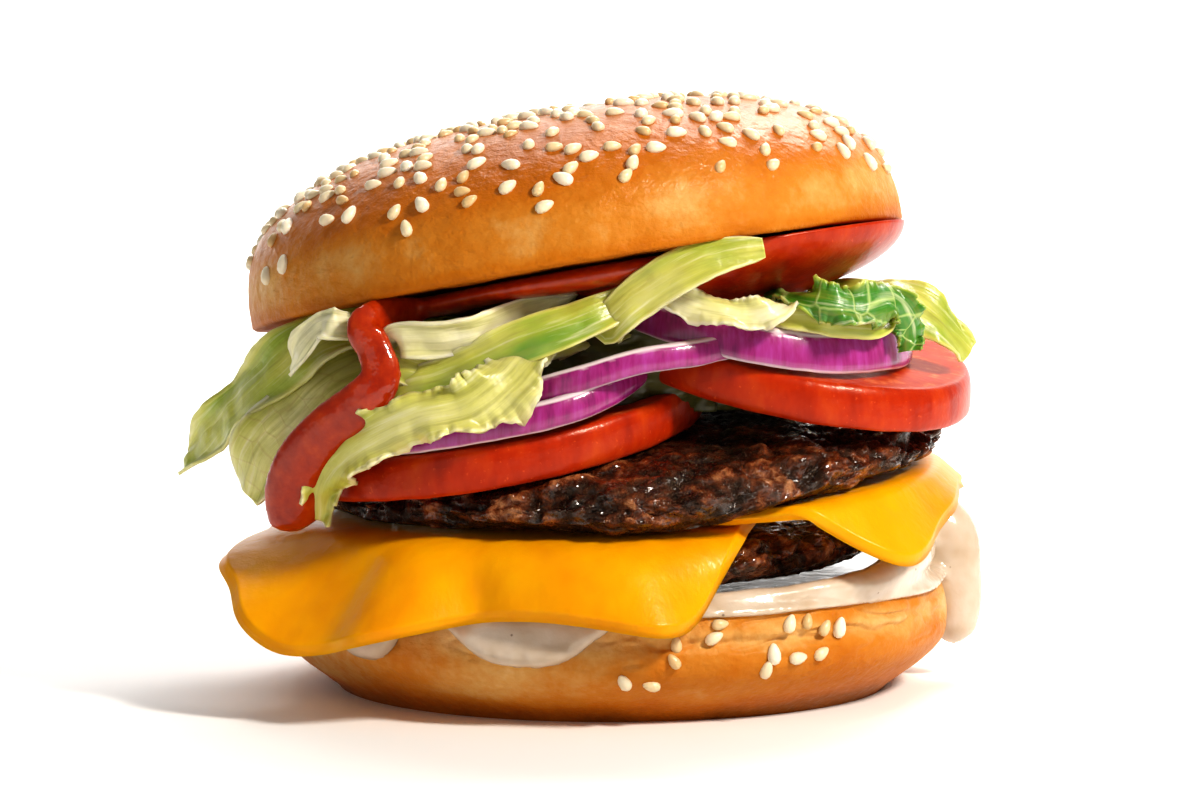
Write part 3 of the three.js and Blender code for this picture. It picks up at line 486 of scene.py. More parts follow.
def level(tree, value, low, high, to_low=0.0, to_high=1.0):
    """Maps a value from one range to another, held at its ends."""
    links = {"Value": value, "From Min": low, "From Max": high, "To Min": to_low, "To Max": to_high}
    return add(tree, "ShaderNodeMapRange", links).outputs["Result"]


def blend(tree, share, *tones):
    """Mixes two colours, each a socket or a colour as it is given to paint, by a share."""
    links = {0: share}
    for key, tone in zip((6, 7), tones):
        links[key] = tone if isinstance(tone, bpy.types.NodeSocket) else paint(tone)
    return add(tree, "ShaderNodeMix", links, data_type="RGBA").outputs[2]


def maths(tree, how, first, second):
    """One operation on two values."""
    return add(tree, "ShaderNodeMath", {0: first, 1: second}, operation=how).outputs[0]


def mark(tree, name):
    """A piece's own point attribute."""
    return add(tree, "ShaderNodeAttribute", attribute_name=name).outputs["Fac"]


def bumps(tree, *layers):
    """The normal moved by layers of (height, its full height in millimetres), each on the one before."""
    links = {}
    for height, millimetres in layers:
        links.update({"Height": height, "Distance": millimetres * MM, "Strength": 1.0})
        links["Normal"] = add(tree, "ShaderNodeBump", links).outputs["Normal"]
    return links["Normal"]


def finish(material, tone, normal, rough, coat=(0.0, 0.03), under=(0.0, (1.0, 0.2, 0.1), 1.0),
           shine=(0.5, (1.0, 1.0, 1.0)), coat_tint=(1.0, 1.0, 1.0), coat_normal=None, **more):
    """Adds the surface shader and the output. The coat has a weight and a roughness. Under is the share of
    light that goes below the surface, how far its red, green and blue go and the depth in millimetres.
    Shine is the strength and tint of what it mirrors."""
    tree = material.node_tree
    shader = add(tree, "ShaderNodeBsdfPrincipled", {
        "Base Color": tone, "Normal": normal, "Roughness": rough, "Coat Weight": coat[0],
        "Coat Roughness": coat[1], "Coat Tint": paint(coat_tint), "Coat Normal": coat_normal or normal,
        "Subsurface Weight": under[0], "Subsurface Radius": under[1], "Subsurface Scale": under[2] * MM,
        "Specular IOR Level": shine[0], "Specular Tint": paint(shine[1]), **more,
    })
    add(tree, "ShaderNodeOutputMaterial", {"Surface": shader.outputs["BSDF"]})
    return material


def baked_crust():
    """Egg-washed brioche crust: a thin satin glaze over fine dimples, browner on top, pale low down."""
    material, tree, place, tones = new_material("baked_brioche_crust")
    patches = noise(tree, place, 14, 4.0)
    freckles = noise(tree, place, 1.6, 3.0, 0.6)
    # This mark is the crust's own browning, and on the heel also a painted warm light on the side that faces
    # the key light.
    bake = maths(tree, "ADD", mark(tree, "bake"), level(tree, patches, 0.3, 0.7, -0.16, 0.16))
    bake = maths(tree, "ADD", bake, level(tree, freckles, 0.3, 0.7, -0.05, 0.05))
    tone = ramp(tree, bake, (0.0, "#DDB680"), (0.2, "#CE9C58"), (0.4, tones.crust_pale), (0.6, tones.crust),
                (0.82, "#A85C0C"), (1.0, tones.crust_dark))
    pores = level(tree, cells(tree, place, 1.5), 0.0, 0.35)
    wrinkles = noise(tree, place, 3.2, 3.0, 0.5, (1, 1, 2.2))
    normal = bumps(tree, (pores, 0.06), (noise(tree, place, 1.0, 4.0, 0.6), 0.2), (wrinkles, 0.25))
    gloss = level(tree, freckles, 0.3, 0.7, 0.42, 0.58)
    return finish(material, tone, normal, gloss, coat=(mark(tree, "glaze"), 0.14),
                  coat_tint=(1.0, 0.86, 0.66), under=(0.06, (1.0, 0.45, 0.18), 1.5),
                  shine=(0.18, (1.0, 0.8, 0.55)))


def hulled_seed():
    """Hulled sesame: ivory, slightly waxy, each seed its own shade, a toasted tone on some."""
    material, tree, place, tones = new_material("hulled_sesame")
    tone = ramp(tree, mark(tree, "shade"), (0.0, "#D2AE76"), (0.25, "#E2CDA2"), (0.6, tones.seed),
                (1.0, "#F2E8D0"))
    normal = bumps(tree, (noise(tree, place, 0.5), 0.05))
    return finish(material, tone, normal, 0.36, coat=(0.15, 0.2), under=(0.2, (1.0, 0.75, 0.4), 1.0))


def charred_beef():
    """Charred minced beef: near-black crust, red-brown in patches, wet with fat in patches; raised lumps are
    painted lighter and creases darker, a painted light and shade.
    """
    material, tree, place, tones = new_material("charred_minced_beef")
    lumps = noise(tree, place, 3.0, 5.0, 0.65)
    grit = noise(tree, place, 0.7, 3.0, 0.7)
    regions = noise(tree, place, 11.0, 2.0)
    # The lump mark is the patty's relief and the lumps noise also raises the bumps, so raised tops are
    # painted lighter and hollows darker: a painted light and shade. The regions are the meat's own patches.
    high = maths(tree, "MULTIPLY", mark(tree, "lump"), 0.22)
    char_and_painted_light = maths(tree, "ADD", level(tree, lumps, 0.3, 0.75), high)
    char_and_painted_light = maths(tree, "ADD", char_and_painted_light, level(tree, regions, 0.35, 0.65, -0.16, 0.28))
    tone = ramp(tree, char_and_painted_light, (0.1, "#0F0503"), (0.38, tones.meat), (0.6, "#44200F"), (0.8, tones.meat_red),
                (1.0, "#A6724C"))
    gloss = level(tree, noise(tree, place, 1.8, 3.0), 0.42, 0.58, 0.07, 0.62)
    wet = level(tree, noise(tree, place, 2.6, 2.0), 0.42, 0.56, 0.1, 1.0)
    fat = bumps(tree, (noise(tree, place, 1.3, 1.0), 0.8))
    return finish(material, tone, bumps(tree, (lumps, 1.3), (grit, 0.6)), gloss, coat=(wet, 0.07),
                  coat_tint=(1.0, 0.85, 0.7), coat_normal=fat, shine=(0.35, (1.0, 0.72, 0.5)))


def melted_cheese():
    """Processed cheddar, softened by warmth: even orange, a soft gloss and faint stretch ripples."""
    material, tree, place, tones = new_material("melted_processed_cheddar")
    tone = ramp(tree, noise(tree, place, 12, 2.0), (0.3, "#E08E00"), (0.5, tones.cheese), (0.75, "#F0A800"))
    ripples = noise(tree, place, 2.4, 3.0, 0.5, (1, 1, 0.35))
    normal = bumps(tree, (ripples, 0.16), (noise(tree, place, 0.6, 2.0), 0.025))
    return finish(material, tone, normal, 0.36, coat=(0.1, 0.18), under=(0.2, (1.0, 0.6, 0.05), 2.0),
                  shine=(0.25, (1.0, 0.85, 0.5)), IOR=1.4)


def fresh_tomato():
    """Ripe tomato: a tight satin skin with pale flecks, and a softer, paler cut face."""
    material, tree, place, tones = new_material("ripe_tomato")
    cut = mark(tree, "cut")
    streaks = noise(tree, place, 5, 3.0, 0.6, (1, 1, 0.45))
    skin = ramp(tree, streaks, (0.25, "#8A1600"), (0.5, tones.tomato), (0.8, "#C4460C"))
    flesh = ramp(tree, noise(tree, place, 3, 3.0, 0.6), (0.3, "#AE2A0E"), (0.55, tones.tomato_flesh),
                 (0.8, "#DC7A44"))
    flecks = level(tree, noise(tree, place, 0.7, 2.0), 0.66, 0.74, 0.0, 0.35)
    tone = blend(tree, cut, blend(tree, flecks, skin, "#E8642F"), flesh)
    ends = (0.3, 0.6), (0.12, 0.02), (0.25, 0.12)
    rough, coat, shine = (level(tree, cut, 0.0, 1.0, skin_end, cut_end) for skin_end, cut_end in ends)
    return finish(material, tone, bumps(tree, (noise(tree, place, 1.4, 3.0), 0.1)), rough, coat=(coat, 0.15),
                  under=(0.12, (1.0, 0.3, 0.05), 2.0), shine=(shine, (1.0, 0.7, 0.5)))


def red_onion():
    """Red onion: a glossy violet skin with fine upright fibres, white juicy cut edges."""
    material, tree, place, tones = new_material("red_onion")
    fibres = noise(tree, place, 1.1, 3.0, 0.6, (1, 1, 0.12))
    patches = noise(tree, place, 9, 2.0)
    shade = maths(tree, "ADD", maths(tree, "MULTIPLY", fibres, 0.55), maths(tree, "MULTIPLY", patches, 0.5))
    skin = ramp(tree, shade, (0.3, "#5E1146"), (0.5, tones.onion), (0.7, "#A83C92"), (0.92, "#C88ABC"))
    tone = blend(tree, mark(tree, "cut"), skin, tones.onion_flesh)
    return finish(material, tone, bumps(tree, (fibres, 0.08)), 0.24, coat=(0.3, 0.1),
                  under=(0.2, (1.0, 0.5, 0.8), 1.5))


def crisp_lettuce():
    """Iceberg and leaf lettuce: pale thick parts, yellow-green blades, fine fibres, a few veins."""
    material, tree, place, tones = new_material("crisp_lettuce")
    flat = add(tree, "ShaderNodeUVMap", uv_map="Leaf").outputs["UV"]
    clouds = noise(tree, flat, 8.0, 3.0, 0.5, (0.35, 1, 1))
    tint = maths(tree, "ADD", mark(tree, "tint"), level(tree, clouds, 0.3, 0.7, -0.18, 0.18))
    tone = ramp(tree, tint, (0.0, tones.leaf_pale), (0.28, "#D8D48C"), (0.55, tones.leaf), (0.8, "#8FA232"),
                (1.0, tones.leaf_dark))
    fibres = noise(tree, flat, 1.3, 3.0, 0.6, (0.05, 1, 1))
    tone = blend(tree, level(tree, fibres, 0.5, 0.7, 0.0, 0.6), tone, "#8C8A34")
    tone = blend(tree, level(tree, fibres, 0.45, 0.3, 0.0, 0.5), tone, "#ECE8C4")
    bent = add(tree, "ShaderNodeVectorMath", {0: flat, 1: noise(tree, flat, 5.0, 2.0)}, operation="ADD")
    edges = cells(tree, bent.outputs["Vector"], 6.0, "DISTANCE_TO_EDGE", 0.85)
    veins = maths(tree, "MULTIPLY", level(tree, edges, 0.0, 0.05, 0.6, 0.0), mark(tree, "veins"))
    tone = blend(tree, veins, tone, ramp(tree, mark(tree, "tint"), (0.5, "#B08A5C"), (0.8, "#C9D88A")))
    # Where the painted shade mark is set, the colour goes towards near-black: a painted shade for the hollows
    # of the heap.
    tone = blend(tree, mark(tree, "painted_shade"), tone, "#171406")
    normal = bumps(tree, (noise(tree, place, 5.0, 3.0, 0.5), 0.5), (fibres, 0.2), (veins, 0.12))
    return finish(material, tone, normal, 0.36, coat=(0.15, 0.2), under=(0.35, (0.9, 1.0, 0.3), 2.5))


def thick_ketchup():
    """Ketchup: wet and dense, a sharp gloss, orange-red in patches."""
    material, tree, place, tones = new_material("thick_ketchup")
    pulp = noise(tree, place, 2.5, 4.0, 0.6)
    tone = ramp(tree, pulp, (0.3, "#8E1E02"), (0.55, tones.ketchup), (0.8, "#B84008"))
    normal = bumps(tree, (noise(tree, place, 4.0, 3.0), 0.35))
    return finish(material, tone, normal, 0.3, coat=(0.8, 0.03), under=(0.15, (1.0, 0.3, 0.05), 2.0),
                  shine=(0.2, (1.0, 0.7, 0.5)), IOR=1.4)


def smooth_mayonnaise():
    """Mayonnaise: glossy cream with ground pepper, light spreading under its surface."""
    material, tree, place, tones = new_material("peppered_mayonnaise")
    cream = ramp(tree, noise(tree, place, 6, 2.0), (0.3, "#BDA88F"), (0.7, tones.mayonnaise))
    specks = level(tree, cells(tree, place, 3.4), 0.05, 0.09, 0.75, 0.0)
    normal = bumps(tree, (noise(tree, place, 3.0, 3.0), 0.18))
    return finish(material, blend(tree, specks, cream, "#5A3E28"), normal, 0.24, coat=(0.5, 0.08),
                  under=(0.3, (1.0, 0.85, 0.65), 2.0))


def dress(piece, material, node):
    """Gives a piece its material, rides it on the burger and hides the solid it stands for."""
    piece.data.materials.append(material)
    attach(piece, "root")
    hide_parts(node)


def put_shell(name, rows, material, slot, node, **marks):
    """Makes and dresses a piece from rows of rings. A mark has one value, one for each row or one for each
    point of each row."""
    points, faces = shell(rows)
    for key, values in marks.items():
        values = np.broadcast_to(values, rows.shape[:2])
        marks[key] = np.concatenate([values[0, :1], values[1:-1].ravel(), values[-1, :1]])
    dress(put_mesh(name, points, faces, marks), material, node)

# Bun

def heel_radius(z, angle):
    """The heel's radius: a quarter sine from the foot to the widest, then drawn in by a square to the rim,
    less a crease."""
    low = np.clip(z / HEEL["widest_at"], 0, 1)
    high = np.clip((z - HEEL["widest_at"]) / (HEEL["top"] - HEEL["widest_at"]), 0, 1)
    plump = (HEEL["foot"] + (HEEL["widest"] - HEEL["foot"]) * np.sin(math.pi / 2 * low) ** 1.25
             - (HEEL["widest"] - HEEL["rim"]) * high ** 2)
    near = hump(turn_to(angle, CREASE["angle"]), 0, CREASE["spread"])
    crease = CREASE["depth"] * hump(z, CREASE["z"], CREASE["high"]) * near
    return plump * (1 + 0.008 * uneven(angle, 1.3)) - crease


def crown_axes():
    """The crown's right, back and up directions."""
    right = unit(np.array([1, 0, CROWN["slope_x"]]))
    up = unit(np.array([-CROWN["slope_x"], -CROWN["slope_y"], 1]))
    return right, np.cross(up, right), up


def from_crown(points):
    """Points of the crown's own frame, placed in the burger."""
    return points @ np.stack(crown_axes()) + np.array([CROWN["x"], CROWN["y"], CROWN["z"]])


def dome(rise, angle):
    """The dome: its radius falls as the 0.8th power of a cosine, its height grows as the 0.72nd of a sine."""
    r = CROWN["radius"] * np.cos(rise) ** 0.8 * (1 + 0.012 * uneven(angle, 0.4))
    z = CROWN["height"] * np.sin(rise) ** 0.72 * (1 + 0.02 * uneven(angle, 2.2) * np.cos(rise))
    return polar(r, angle, z)


def dome_normal(rise, angle):
    """The dome's outward direction, from small steps up and along it."""
    step = 0.01
    up = dome(rise + step, angle) - dome(rise - step, angle)
    along = dome(rise, angle + step) - dome(rise, angle - step)
    return unit(np.cross(along, up))


class BURGER_OT_heel(bpy.types.Operator):
    """Make the heel of the bun: a round side on a flat foot, cut level on top"""

    bl_idname = "burger.heel"
    bl_label = "Heel"

    def execute(self, context):
        relief = context.scene.burger_sizes.crust_relief
        angle = ring_angles(420)
        side = np.linspace(0, HEEL["top"] - 0.5, 90)
        inset = np.array([0.12, 0.45, 0.9, 2, 5, 12, 26, 40])
        top = np.full(len(inset) + 1, HEEL["top"])
        z = column(np.zeros(8), side, [HEEL["top"] - 0.18], top)
        share = column(np.linspace(0, 0.985, 8), np.ones(len(side) + 1 + len(inset)), [0])
        less = column(np.zeros(8 + len(side)), [0.04], inset, [0])
        r = share * heel_radius(z, angle) - less
        rows = polar(r, angle, z)
        lumps = relief * grain(rows, 9, 3) + 0.5 * relief * grain(rows, 2.4, 4)
        band = hump(z, WRINKLES["z"], WRINKLES["high"])
        wrinkles = np.abs(grain(rows * [1, 1, 2.6], WRINKLES["size"], 13)) * band / np.maximum(band, 0.02)
        lumps = lumps - WRINKLES["depth"] * relief * ease(0.3, 0, wrinkles) * band
        r = r + ease(0.2, 1.6, z) * ease(0.995, 1.0, share) * lumps
        pale = hump(z, 14.2, 2.6) * (0.55 + 0.25 * np.sin(angle + 2.0))
        # The hump round angle -0.7, on the side facing the key light, makes that side more orange: a painted
        # warm light over the crust's own browning and pale band.
        bake = (0.34 + 0.5 * ease(5, 0.2, z) + 0.2 * hump(turn_to(angle, -0.7), 0, 0.7) - 0.34 * pale
                + 0.3 * ease(17.6, 18.2, z) + 0.06 * uneven(angle, 2))
        put_shell("heel_crust", polar(r, angle, z), baked_crust(), "bun", "bun_heel", bake=bake, glaze=0.05)
        return {"FINISHED"}


class BURGER_OT_crown(bpy.types.Operator):
    """Make the crown of the bun: a dome with a rounded lip and a toasted cut face"""

    bl_idname = "burger.crown"
    bl_label = "Crown"

    def execute(self, context):
        relief = context.scene.burger_sizes.crust_relief
        angle = ring_angles(480)
        rise = column(np.linspace(0.004, 0.12, 16), np.linspace(0.13, 1.5, 110), [1.54])
        skin = dome(rise, angle)
        inner = np.array([0.0, 0.3, 0.6, 0.78, 0.9, 0.965, 0.99])[:, None]
        low = len(inner)
        edge = dome(np.array([[0.004]]), angle)
        under = edge * inner[..., None]
        under[..., 2] = 0.35 * grain(under, 3.5, 5) * ease(1.0, 0.9, inner) + 0.1
        top = np.broadcast_to(np.array([0, 0, CROWN["height"]]), edge.shape)
        rows = np.concatenate([under, skin, top])
        lumps = relief * (grain(rows, 11, 7) + 0.5 * grain(rows, 3.1, 8)) + 0.08 * grain(rows, 1.3, 9)
        rows[low:-1] += dome_normal(np.maximum(rise, 0.05), angle) * lumps[low:-1, :, None]
        steep = np.concatenate([np.full((low, 1), -1.0), rise, [[1.57]]])
        bake = 0.46 + 0.25 * ease(0.05, 0.75, steep) + 0.1 * ease(0.8, 1.4, steep) + 0.05 * uneven(angle, 3)
        pale = 0.14 * hump(steep, 0.16, 0.12) * (1 + 0.4 * uneven(angle, 1))
        bake = bake + 0.16 * ease(0.05, 0.0, steep) - pale
        bake = np.where(steep < 0, 0.72, bake)
        put_shell("crown_crust", from_crown(rows), baked_crust(), "bun", "bun_crown", bake=bake,
                  glaze=0.4 * ease(0.1, 0.45, steep))
        return {"FINISHED"}


def drawn_numbers(seed):
    """Draws the same numbers between 0 and 1 each time, from a seed."""
    state = seed
    while True:
        state = (state * 1664525 + 1013904223) % 4294967296
        yield state / 4294967296


def crown_seed_places(wanted):
    """Draws seeds over the dome, many on top and few low down, none closer to another than a set distance."""
    draw = drawn_numbers(7)
    places, faces, turns = [], [], []
    while len(places) < wanted:
        angle = TAU * next(draw)
        rise = math.acos(math.sqrt(next(draw)))
        keep = next(draw)
        turn = math.pi * next(draw)
        low = max(SEED["thin_below"] - rise, 0) / SEED["thin_below"]
        place = dome(np.float64(max(rise, SEED["lowest"])), np.float64(angle))
        clear = not places or np.min(np.linalg.norm(np.array(places) - place, axis=1)) > SEED["apart"]
        if clear and keep > SEED["thin"] * low:
            places.append(place)
            faces.append(dome_normal(np.float64(max(rise, SEED["lowest"])), np.float64(angle)))
            turns.append(turn)
    return from_crown(np.array(places)), np.array(faces) @ np.stack(crown_axes()), np.array(turns)


def heel_seed_places():
    """The places, directions and turns of the seeds on the heel."""
    given = np.array(HEEL_SEEDS)
    angle, z, turns = given.T
    r = heel_radius(z, angle)
    slope = heel_radius(z - 0.5, angle) - heel_radius(z + 0.5, angle)
    return polar(r, angle, z), unit(stacked(np.cos(angle), np.sin(angle), slope)), turns


def seed_mesh(places, outwards, turns, draw):
    """Seeds as drops: an ellipsoid whose width narrows towards one tip, one copy at each place."""
    along = np.linspace(math.pi, 0, 7)[:, None]
    around = ring_angles(9)
    width = np.sin(along) * (1 - 0.28 * np.cos(along))
    form, faces = shell(0.5 * stacked(np.cos(along), width * np.cos(around), width * np.sin(around)))
    first = np.cross(np.broadcast_to([0.0, 0.0, 1.0], outwards.shape) + 1e-6, outwards)
    first = unit(np.where(np.linalg.norm(first, axis=1)[:, None] < 1e-3, [1.0, 0.0, 0.0], first))
    lengthwise = np.cos(turns)[:, None] * first + np.sin(turns)[:, None] * np.cross(outwards, first)
    size = 0.86 + 0.26 * draw[:, None, None]
    scaled = form * np.array([SEED["length"], SEED["width"], 2.1 * SEED["height"]]) * size
    frames = np.stack([lengthwise, np.cross(outwards, lengthwise), outwards], axis=1)
    points = np.einsum("spc,scd->spd", scaled, frames) + places[:, None]
    points = points + SEED["stand"] * outwards[:, None]
    shift = np.arange(len(places))[:, None, None] * len(form)
    faces = [(f + shift).reshape(-1, f.shape[1]) for f in faces]
    return points.reshape(-1, 3), faces, {"shade": np.repeat(draw, len(form))}


class BURGER_OT_seeds(bpy.types.Operator):
    """Scatter the sesame seeds over the crown, and the few that stuck to the heel"""

    bl_idname = "burger.seeds"
    bl_label = "Sesame seeds"

    def execute(self, context):
        material = hulled_seed()
        lots = (
            ("crown_seeds", crown_seed_places(context.scene.burger_sizes.crown_seeds), "bun_crown"),
            ("heel_seeds", heel_seed_places(), "bun_heel"),
        )
        for name, (places, outwards, turns), node in lots:
            draw = np.random.default_rng(11).random(len(places))
            dress(put_mesh(name, *seed_mesh(places, outwards, turns, draw)), material, node)
        return {"FINISHED"}


# Meat and cheese

def patty_top(patty, q):
    """A patty's top over its base plane: highest in the middle, falling as the 2.2th power of q."""
    return patty["edge"] + patty["rise"] * (1 - q ** 2.2)


def lumpy(points, size, seed):
    """Rounded lumps with creases between them: the size of smooth noise, without its sign."""
    return np.abs(grain(points, size, seed)) ** 0.8 * 2 - 0.7


def patty_rows(patty, phase, floor, sag, depth):
    """A patty: an outline turned round its middle, moved by slow waves and by lumps of minced meat. Its
    rim hangs by sag in front, as a bell curve round the burger."""
    corners = np.array([(0, 0, 0), (0.62, 0, 0), (0.93, 0.06, 1), (1, 0.34, 0.9), (1.01, 0.66, 0.4),
                        (0.965, 0.96, 0)])
    along = np.concatenate([np.linspace(0, 2, 20), np.linspace(2.05, 5, 70)])
    q_side = np.interp(along, np.arange(6), corners[:, 0])
    level_side = np.interp(along, np.arange(6), corners[:, 1]) * patty["edge"]
    q_top = np.linspace(0.955, 0, 64)
    q = column(q_side, q_top)
    local = column(level_side, patty_top(patty, q_top))
    hang = column(np.interp(along, np.arange(6), corners[:, 2]), np.zeros(len(q_top)))
    angle = ring_angles(460)
    wave = crags(angle, 3 * local / patty["edge"], phase)
    r = q * patty["radius"] * (1 + 0.015 * uneven(angle, phase)) + q * q * CRAG["side"] * wave
    x, y = beside(patty, r, angle)
    hang = sag * hang * hump(turn_to(angle, SAG["angle"]), 0, SAG["spread"])
    z = plane_height(patty, x, y) + local - hang
    rows = stacked(x, y, z)
    outer = ease(0.6, 0.97, q)
    pushed = rows + 1.6 * np.stack([grain(rows, 5.0, n) for n in (21, 22, 23)], axis=-1)
    lumps = (0.8 * lumpy(pushed, 5.2, 2) + 0.6 * lumpy(pushed, 2.7, 5) + 0.35 * lumpy(pushed, 1.3, 9)
             + 0.5 * grain(rows, 9.0, 12))
    push = depth * lumps * (0.35 + 0.65 * outer)
    flat = ease(0.05, 0.3, local / patty["edge"])
    push_out(rows, angle, outer * push * ease(1.0, 0.9, local / (patty["edge"] + patty["rise"])))
    rows[..., 2] += 0.55 * push * flat
    under = np.arange(len(q))[:, None] < len(along)
    rows[..., 2] = np.where(under, np.maximum(rows[..., 2], floor(x, y)), rows[..., 2])
    return rows, lumps


def on_lower_patty(x, y):
    """The height of the middle of the slice that lies on the lower patty."""
    q = np.minimum(np.hypot(x - PATTY_LOWER["x"], y - PATTY_LOWER["y"]) / PATTY_LOWER["radius"], 1)
    top = plane_height(PATTY_LOWER, x, y) + patty_top(PATTY_LOWER, q)
    return top + ROOM + CRAG["top"] + 0.5 * CHEESE["thick"]


def on_front_slice(x, y):
    """The height just above the front slice, where the upper patty lies."""
    return on_lower_patty(x, y) + 0.5 * CHEESE["thick"] + ROOM


def under_upper_patty(x, y):
    """The height of the middle of the slice that hangs from the upper patty or lies on the other slice."""
    above = plane_height(PATTY_UPPER, x, y) - ROOM - 0.5 * CHEESE["thick"]
    return np.maximum(above, on_front_slice(x, y) + 0.5 * CHEESE["thick"])


class BURGER_OT_patties(bpy.types.Operator):
    """Make the two charred patties"""

    bl_idname = "burger.patties"
    bl_label = "Patties"

    def execute(self, context):
        depth = context.scene.burger_sizes.crag_depth
        material = charred_beef()
        lots = (
            ("lower_patty", PATTY_LOWER, 0.7, lambda x, y: MAYONNAISE["top"] + 0.1 + 0 * x, 0, "patty_lower"),
            ("upper_patty", PATTY_UPPER, 2.9, on_front_slice, SAG["depth"], "patty_upper"),
        )
        for name, patty, phase, floor, sag, node in lots:
            rows, lumps = patty_rows(patty, phase, floor, sag, depth)
            # The lump mark is the meat's relief; its material paints the raised lumps lighter and the creases
            # darker, a painted light and shade.
            put_shell(name, rows, material, "patty", node, lump=lumps)
        return {"FINISHED"}


def slice_reach(angle):
    """How far a slice reaches towards an angle: a square with rounded corners, a high-power circle."""
    wide = np.abs(np.cos(angle)) ** CHEESE["square"] + np.abs(np.sin(angle)) ** CHEESE["square"]
    return CHEESE["half"] / wide ** (1 / CHEESE["square"])


def overhang(piece, length, angle):
    """Where cheese past the rim ends up: out and down round a circular bend, then a steep straight line."""
    steep = piece["steep"] - piece["flare"] * hump(turn_to(angle, piece["flare_at"]), 0, 0.6)
    round_part = np.minimum(length, piece["bend"] * steep)
    straight = length - round_part
    turned = round_part / piece["bend"]
    return (piece["bend"] * np.sin(turned) + straight * np.cos(steep),
            piece["bend"] * (1 - np.cos(turned)) + straight * np.sin(steep))


def draped_middle(piece, patty, lie, reach, angle):
    """The middle layer of a draped slice: flat out to the patty's rim, then hanging, with waves that grow."""
    far = reach * slice_reach(angle - piece["turn"])
    x = piece["x"] + far * np.cos(angle) - patty["x"]
    y = piece["y"] + far * np.sin(angle) - patty["y"]
    span = np.maximum(np.hypot(x, y), 1e-6)
    past = np.maximum(span - piece["rim"], 0)
    out, down = overhang(piece, past, np.arctan2(y, x))
    wave = past / CHEESE["fall"] * (piece["folds"] * np.sin(7 * angle + piece["phase"])
                                    + piece["creases"] * np.sin(12 * angle + 2 * piece["phase"])
                                    + 0.25 * np.sin(23 * angle))
    kept = np.minimum(span, piece["rim"])
    scale = (kept + out + wave) / span
    height = lie(patty["x"] + x * kept / span, patty["y"] + y * kept / span)
    return stacked(patty["x"] + x * scale, patty["y"] + y * scale, height - down)


class BURGER_OT_cheese(bpy.types.Operator):
    """Drape the two slices of cheese over the lower patty and under the upper one"""

    bl_idname = "burger.cheese"
    bl_label = "Cheese"

    def execute(self, context):
        material = melted_cheese()
        lots = (
            ("front_cheese", CHEESE_FRONT, PATTY_LOWER, on_lower_patty, "cheese_front"),
            ("right_cheese", CHEESE_RIGHT, PATTY_UPPER, under_upper_patty, "cheese_right"),
        )
        angle = ring_angles(480)
        reach = column([0.0], np.linspace(0.12, 0.55, 8), np.linspace(0.58, 1, 62))
        for name, piece, patty, lie, node in lots:
            middle = draped_middle(piece, patty, lie, reach, angle)
            wrapped = np.concatenate([middle[:, -1:], middle, middle[:, :1]], axis=1)
            normal = grid_normals(wrapped)[:, 1:-1]
            normal[0] = [0, 0, 1]
            half = CHEESE["thick"] / 2 * np.cos(np.clip((reach - 0.985) / 0.015, 0, 1) * 1.2)
            outwards = unit(middle[-1] - middle[-4])
            lip = middle[-1] + outwards * 0.42 * CHEESE["thick"]
            rise = normal * half[..., None]
            rows = np.concatenate([middle - rise, lip[None], (middle + rise)[::-1]])
            put_shell(name, rows, material, "cheese", node)
        return {"FINISHED"}


# Vegetables

def tomato_rows(piece, phase):
    """A slice: flat cut faces and a rounded skin, its outline moved by slow waves."""
    bulge = np.linspace(-math.pi / 2, math.pi / 2, 34)
    q = np.concatenate([[0, 0.3, 0.6, 0.85, 0.94], 0.965 + 0.037 * np.cos(bulge), [0.94, 0.85, 0.6, 0.3, 0]])
    local = np.concatenate([np.zeros(5), 0.5 + 0.5 * np.sign(np.sin(bulge)) * np.abs(np.sin(bulge)) ** 0.62,
                            np.ones(5)])
    angle = ring_angles(300)
    q, local = q[:, None], local[:, None]
    r = q * piece["radius"] * (1 + 0.018 * uneven(angle, phase))
    x, y = beside(piece, r, angle)
    rows = stacked(x, y, plane_height(piece, x, y) + local * piece["thick"])
    rows[..., 2] += 0.16 * grain(rows, 4, 6) * ease(0.5, 0.9, q)
    return rows, ease(0.985, 0.955, q)


def tomato_end_rows():
    """The end of a tomato, cut face up: its depth and radius follow a superellipse of power 2.2."""
    depth = column(1 - np.linspace(0, 1, 40) ** 2, [0, 0, 0])
    q = (1 - depth ** 2.2) ** (1 / 2.2)
    q[-3:, 0] = [0.97, 0.5, 0]
    angle = ring_angles(300)
    r = q * TOMATO_END["radius"] * (1 + 0.03 * uneven(angle, 0.9))
    x, y = beside(TOMATO_END, r, angle)
    rows = stacked(x, y, plane_height(CROWN, x, y) - 0.45 - depth * TOMATO_END["thick"])
    cut = np.zeros_like(x)
    cut[-3:] = 1
    return rows, cut


class BURGER_OT_tomatoes(bpy.types.Operator):
    """Make the tomato slices and the tomato end under the crown"""

    bl_idname = "burger.tomatoes"
    bl_label = "Tomatoes"

    def execute(self, context):
        material = fresh_tomato()
        lots = (
            ("front_tomato", tomato_rows(TOMATO_FRONT, 0.5), "tomato_front_left"),
            ("back_tomato", tomato_rows(TOMATO_BACK, 1.7), "tomato_back_left"),
            ("right_tomato", tomato_rows(TOMATO_RIGHT, 3.1), "tomato_right"),
            ("end_tomato", tomato_end_rows(), "tomato_top"),
        )
        for name, (rows, cut), node in lots:
            put_shell(name, rows, material, "tomato", node, cut=cut)
        return {"FINISHED"}


